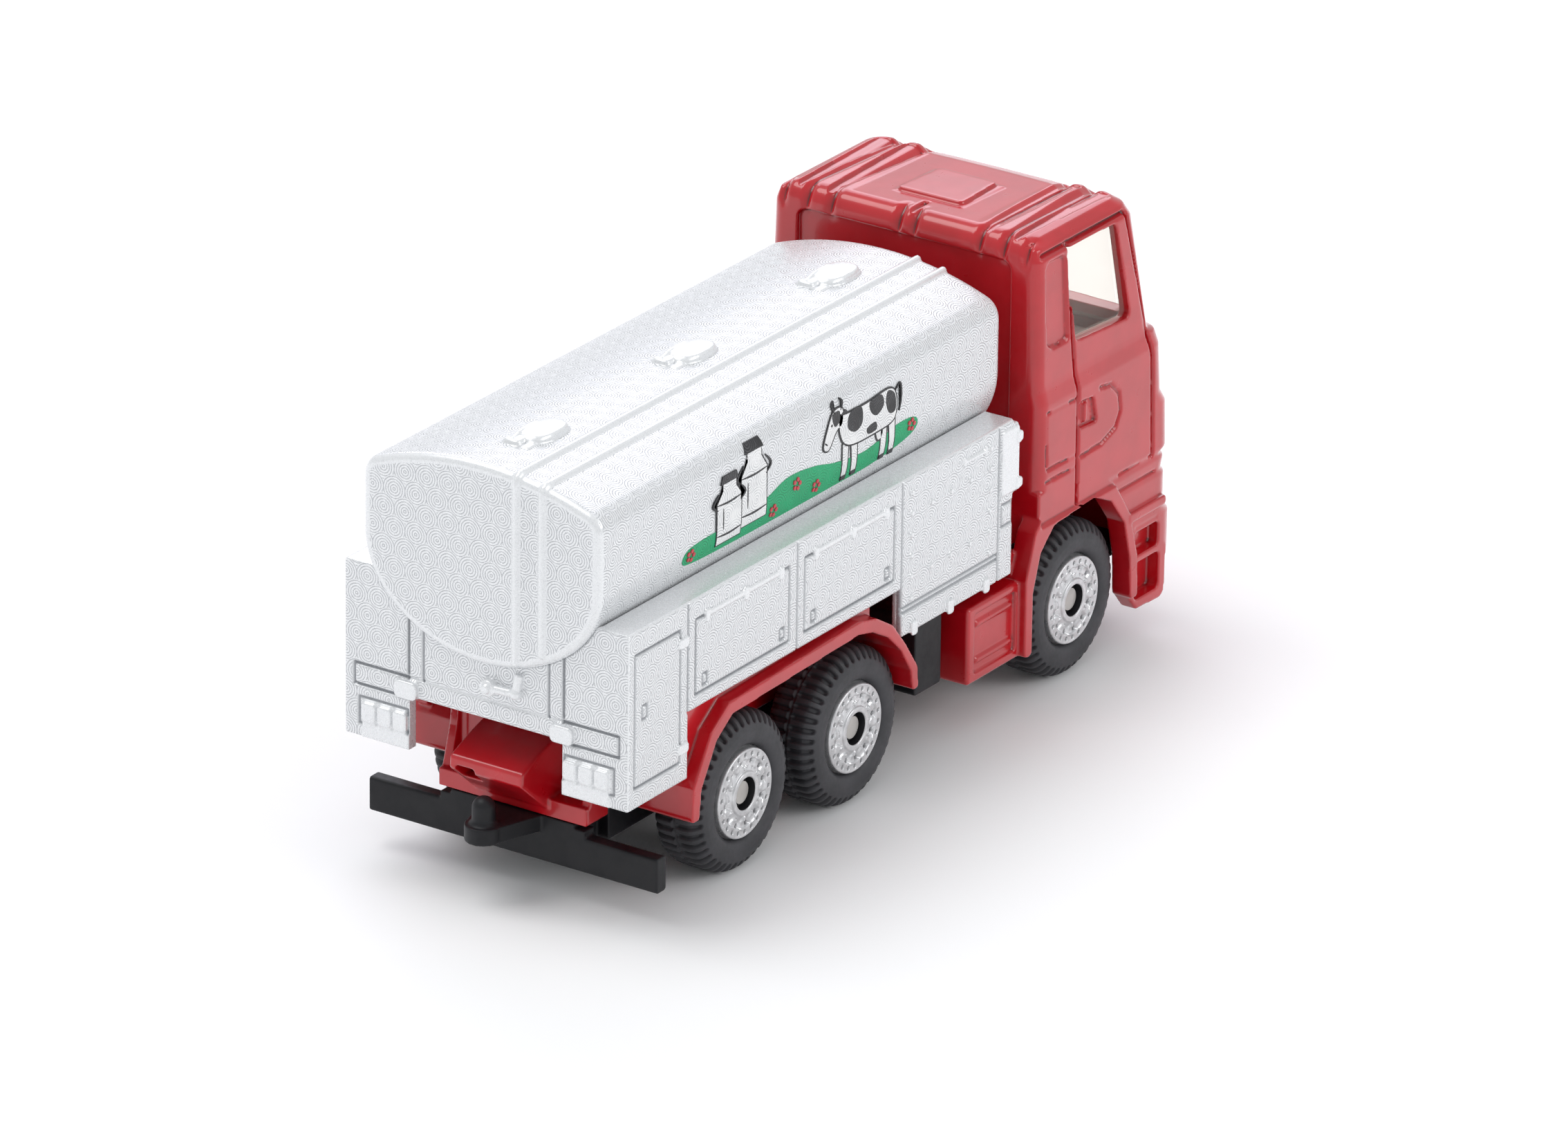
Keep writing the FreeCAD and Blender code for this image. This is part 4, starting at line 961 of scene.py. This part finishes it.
def rim_mesh():
    """Right-hand rim about its hub: flange with a ring of holes, dished disc with holes, nuts and a hub ring;
    the holes and the hub bore carry painted shade.
    """
    o = TYRE_OUTER + 0.1
    face = [(1.5, 0.02), (1.62, 0.0), (1.85, 0.0), (1.95, 0.05), (2.02, 0.16), (2.12, 0.2), (2.45, 0.3),
            (2.75, 0.34), (3.0, 0.3), (3.12, 0.17), (3.22, 0.13), (3.7, 0.12), (3.86, 0.1), (3.95, 0.14),
            (4.0, 0.24)]
    line = smooth_line(face, 0.045)
    back = np.array([(4.01, 0.5), (4.05, 0.8), (BEAD_R, 0.85), (BEAD_R, o - 9.4), (3.56, o - 9.4),
                     (3.46, o - 12.4), (2.0, o - 12.4), (2.0, o - 10.0), (1.0, o - 10.0), (1.0, 1.0),
                     (1.4, 1.0), (1.45, 0.9), (1.45, 0.12)])
    turns = np.linspace(0, 2 * math.pi, 528, endpoint=False)[None, :]
    radius = np.repeat(line[:, :1], turns.size, 1)
    depth = np.repeat(line[:, 1:], turns.size, 1)
    relief = 0.28 * ring_of(turns, radius, RIM_HOLES, HOLE_R, 0.19)
    relief += 0.34 * ring_of(turns, radius, DISH_HOLES, DISH_R, 0.2, 0.25)
    relief -= 0.16 * ring_of(turns, radius, DISH_HOLES, 2.78, 0.5, 0.75)
    relief -= 0.16 * ring_of(turns, radius, NUTS, 2.32, 0.26)
    relief += 0.12 * ring_of(turns, radius, NUTS, 2.3, 0.12, 0.5)
    depth = np.maximum(depth + relief, 0.0)
    radius = np.vstack([radius, np.repeat(back[:, :1], turns.size, 1)])
    depth = np.vstack([depth, np.repeat(back[:, 1:], turns.size, 1)])
    mesh = turned_grid("rim", radius, o - depth, turns, [RIM_SILVER, BLACK])
    # From this row on, the hub's bore takes the black material as painted shade.
    first_shaded_row = len(line) + 7
    rows = np.arange(len(mesh.polygons)) // turns.size
    dark = ((rows >= first_shaded_row) & (rows < len(line) + len(back) - 1)).astype(np.int32)
    mesh.polygons.foreach_set("material_index", dark)
    # Where the holes lie, for the painted shade that the rim material puts in them.
    holes = np.maximum(ring_of(turns, radius, RIM_HOLES, HOLE_R, 0.17),
                       ring_of(turns, radius, DISH_HOLES, DISH_R, 0.18, 0.25))
    holes[len(line):] = 0
    mark(mesh, "hole_shade", holes)
    return mesh


def wheels():
    tyre, rim = tyre_mesh(), rim_mesh()
    for place in PLACES:
        for side, turn in (("right", 0.0), ("left", math.pi)):
            for part, mesh, slot in (("tyre", tyre, "tyre_rubber"), ("rim", rim, "silver_plastic")):
                name = "_".join((place, side, part))
                obj = bpy.data.objects.new(name + "_detailed", mesh)
                obj.location = HUBS[place]
                obj.rotation_euler.z = turn
                linked(obj, place + "_wheelset")
                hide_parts(name)


# ---- nodes kept as they are ---------------------------------------------------------------------
def paint_node(name, material):
    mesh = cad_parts[name].data
    mesh.materials.clear()
    mesh.materials.append(material)


def kept_nodes():
    paint_node("window_insert", CLEAR)
    paint_node("cab_interior", GREY)
    for name in ("front_rivet", "rear_rivet"):
        paint_node(name, RED)
    for place in PLACES:
        paint_node(place + "_axle", STEEL)


# ---- studio -------------------------------------------------------------------------------------
def floor():
    s = Shader("white_floor", Roughness=0.6)
    s.surface.inputs["Specular IOR Level"].default_value = 0.2
    tone = s.noise(3.0, 2.0, s.object_place())
    s.use("Base Color", s.mix(tone, (0.95, 0.95, 0.953, 1), (0.96, 0.96, 0.962, 1)))
    mesh = bpy.data.meshes.new("floor")
    mesh.from_pydata([(-6, -6, 0), (6, -6, 0), (6, 6, 0), (-6, 6, 0)], [], [(0, 1, 2, 3)])
    mesh.materials.append(s.material)
    obj = bpy.data.objects.new("floor", mesh)
    bpy.context.scene.collection.objects.link(obj)


def softbox(name, azimuth, elevation, distance, width, height, power, colour=(1, 1, 1)):
    """Area light that faces the truck. Azimuth 0 is +X, 90 is +Y, both seen from the truck."""
    light = bpy.data.lights.new(name, "AREA")
    light.shape = "RECTANGLE"
    light.size, light.size_y = width, height
    light.energy = power
    light.color = colour
    obj = bpy.data.objects.new(name, light)
    a, e = math.radians(azimuth), math.radians(elevation)
    place = Vector((math.cos(e) * math.cos(a), math.cos(e) * math.sin(a), math.sin(e)))
    obj.location = place * distance + Vector((0, 0, 0.02))
    obj.rotation_euler = place.to_track_quat("Z", "Y").to_euler()
    bpy.context.scene.collection.objects.link(obj)
    return obj


def studio():
    floor()
    bpy.context.scene.view_settings.view_transform = "Standard"
    world = bpy.data.worlds.new("studio")
    bpy.context.scene.world = world
    world.use_nodes = True
    background = world.node_tree.nodes["Background"]
    background.inputs["Color"].default_value = (0.96, 0.98, 1.0, 1)
    background.inputs["Strength"].default_value = 0.66
    softbox("back_panel", 38, 36, 1.1, 0.9, 0.6, 3.2, (0.90, 0.88, 1.0))
    softbox("overhead", 125, 66, 1.3, 0.8, 0.8, 6.8)
    softbox("side_fill", -75, 30, 1.4, 0.9, 0.6, 4.6)


CAMERA_PLACE = Vector((-0.8074, -0.5437, 0.4309))
CAMERA_VIEW = Vector((0.7638, 0.5127, -0.3920))
CAMERA_ROLL = math.radians(0.73)
CAMERA_LENS = 282.78


def camera():
    data = bpy.data.cameras.new("camera")
    data.lens = CAMERA_LENS
    data.sensor_width = 36
    data.clip_start, data.clip_end = 0.05, 50
    obj = bpy.data.objects.new("camera", data)
    turn = CAMERA_VIEW.to_track_quat("-Z", "Y").to_matrix() @ Matrix.Rotation(CAMERA_ROLL, 3, "Z")
    obj.matrix_world = Matrix.Translation(CAMERA_PLACE) @ turn.to_4x4()
    bpy.context.scene.collection.objects.link(obj)
    bpy.context.scene.camera = obj


casting()
lockers()
base()
tank()
decoration()
wheels()
kept_nodes()
studio()
camera()
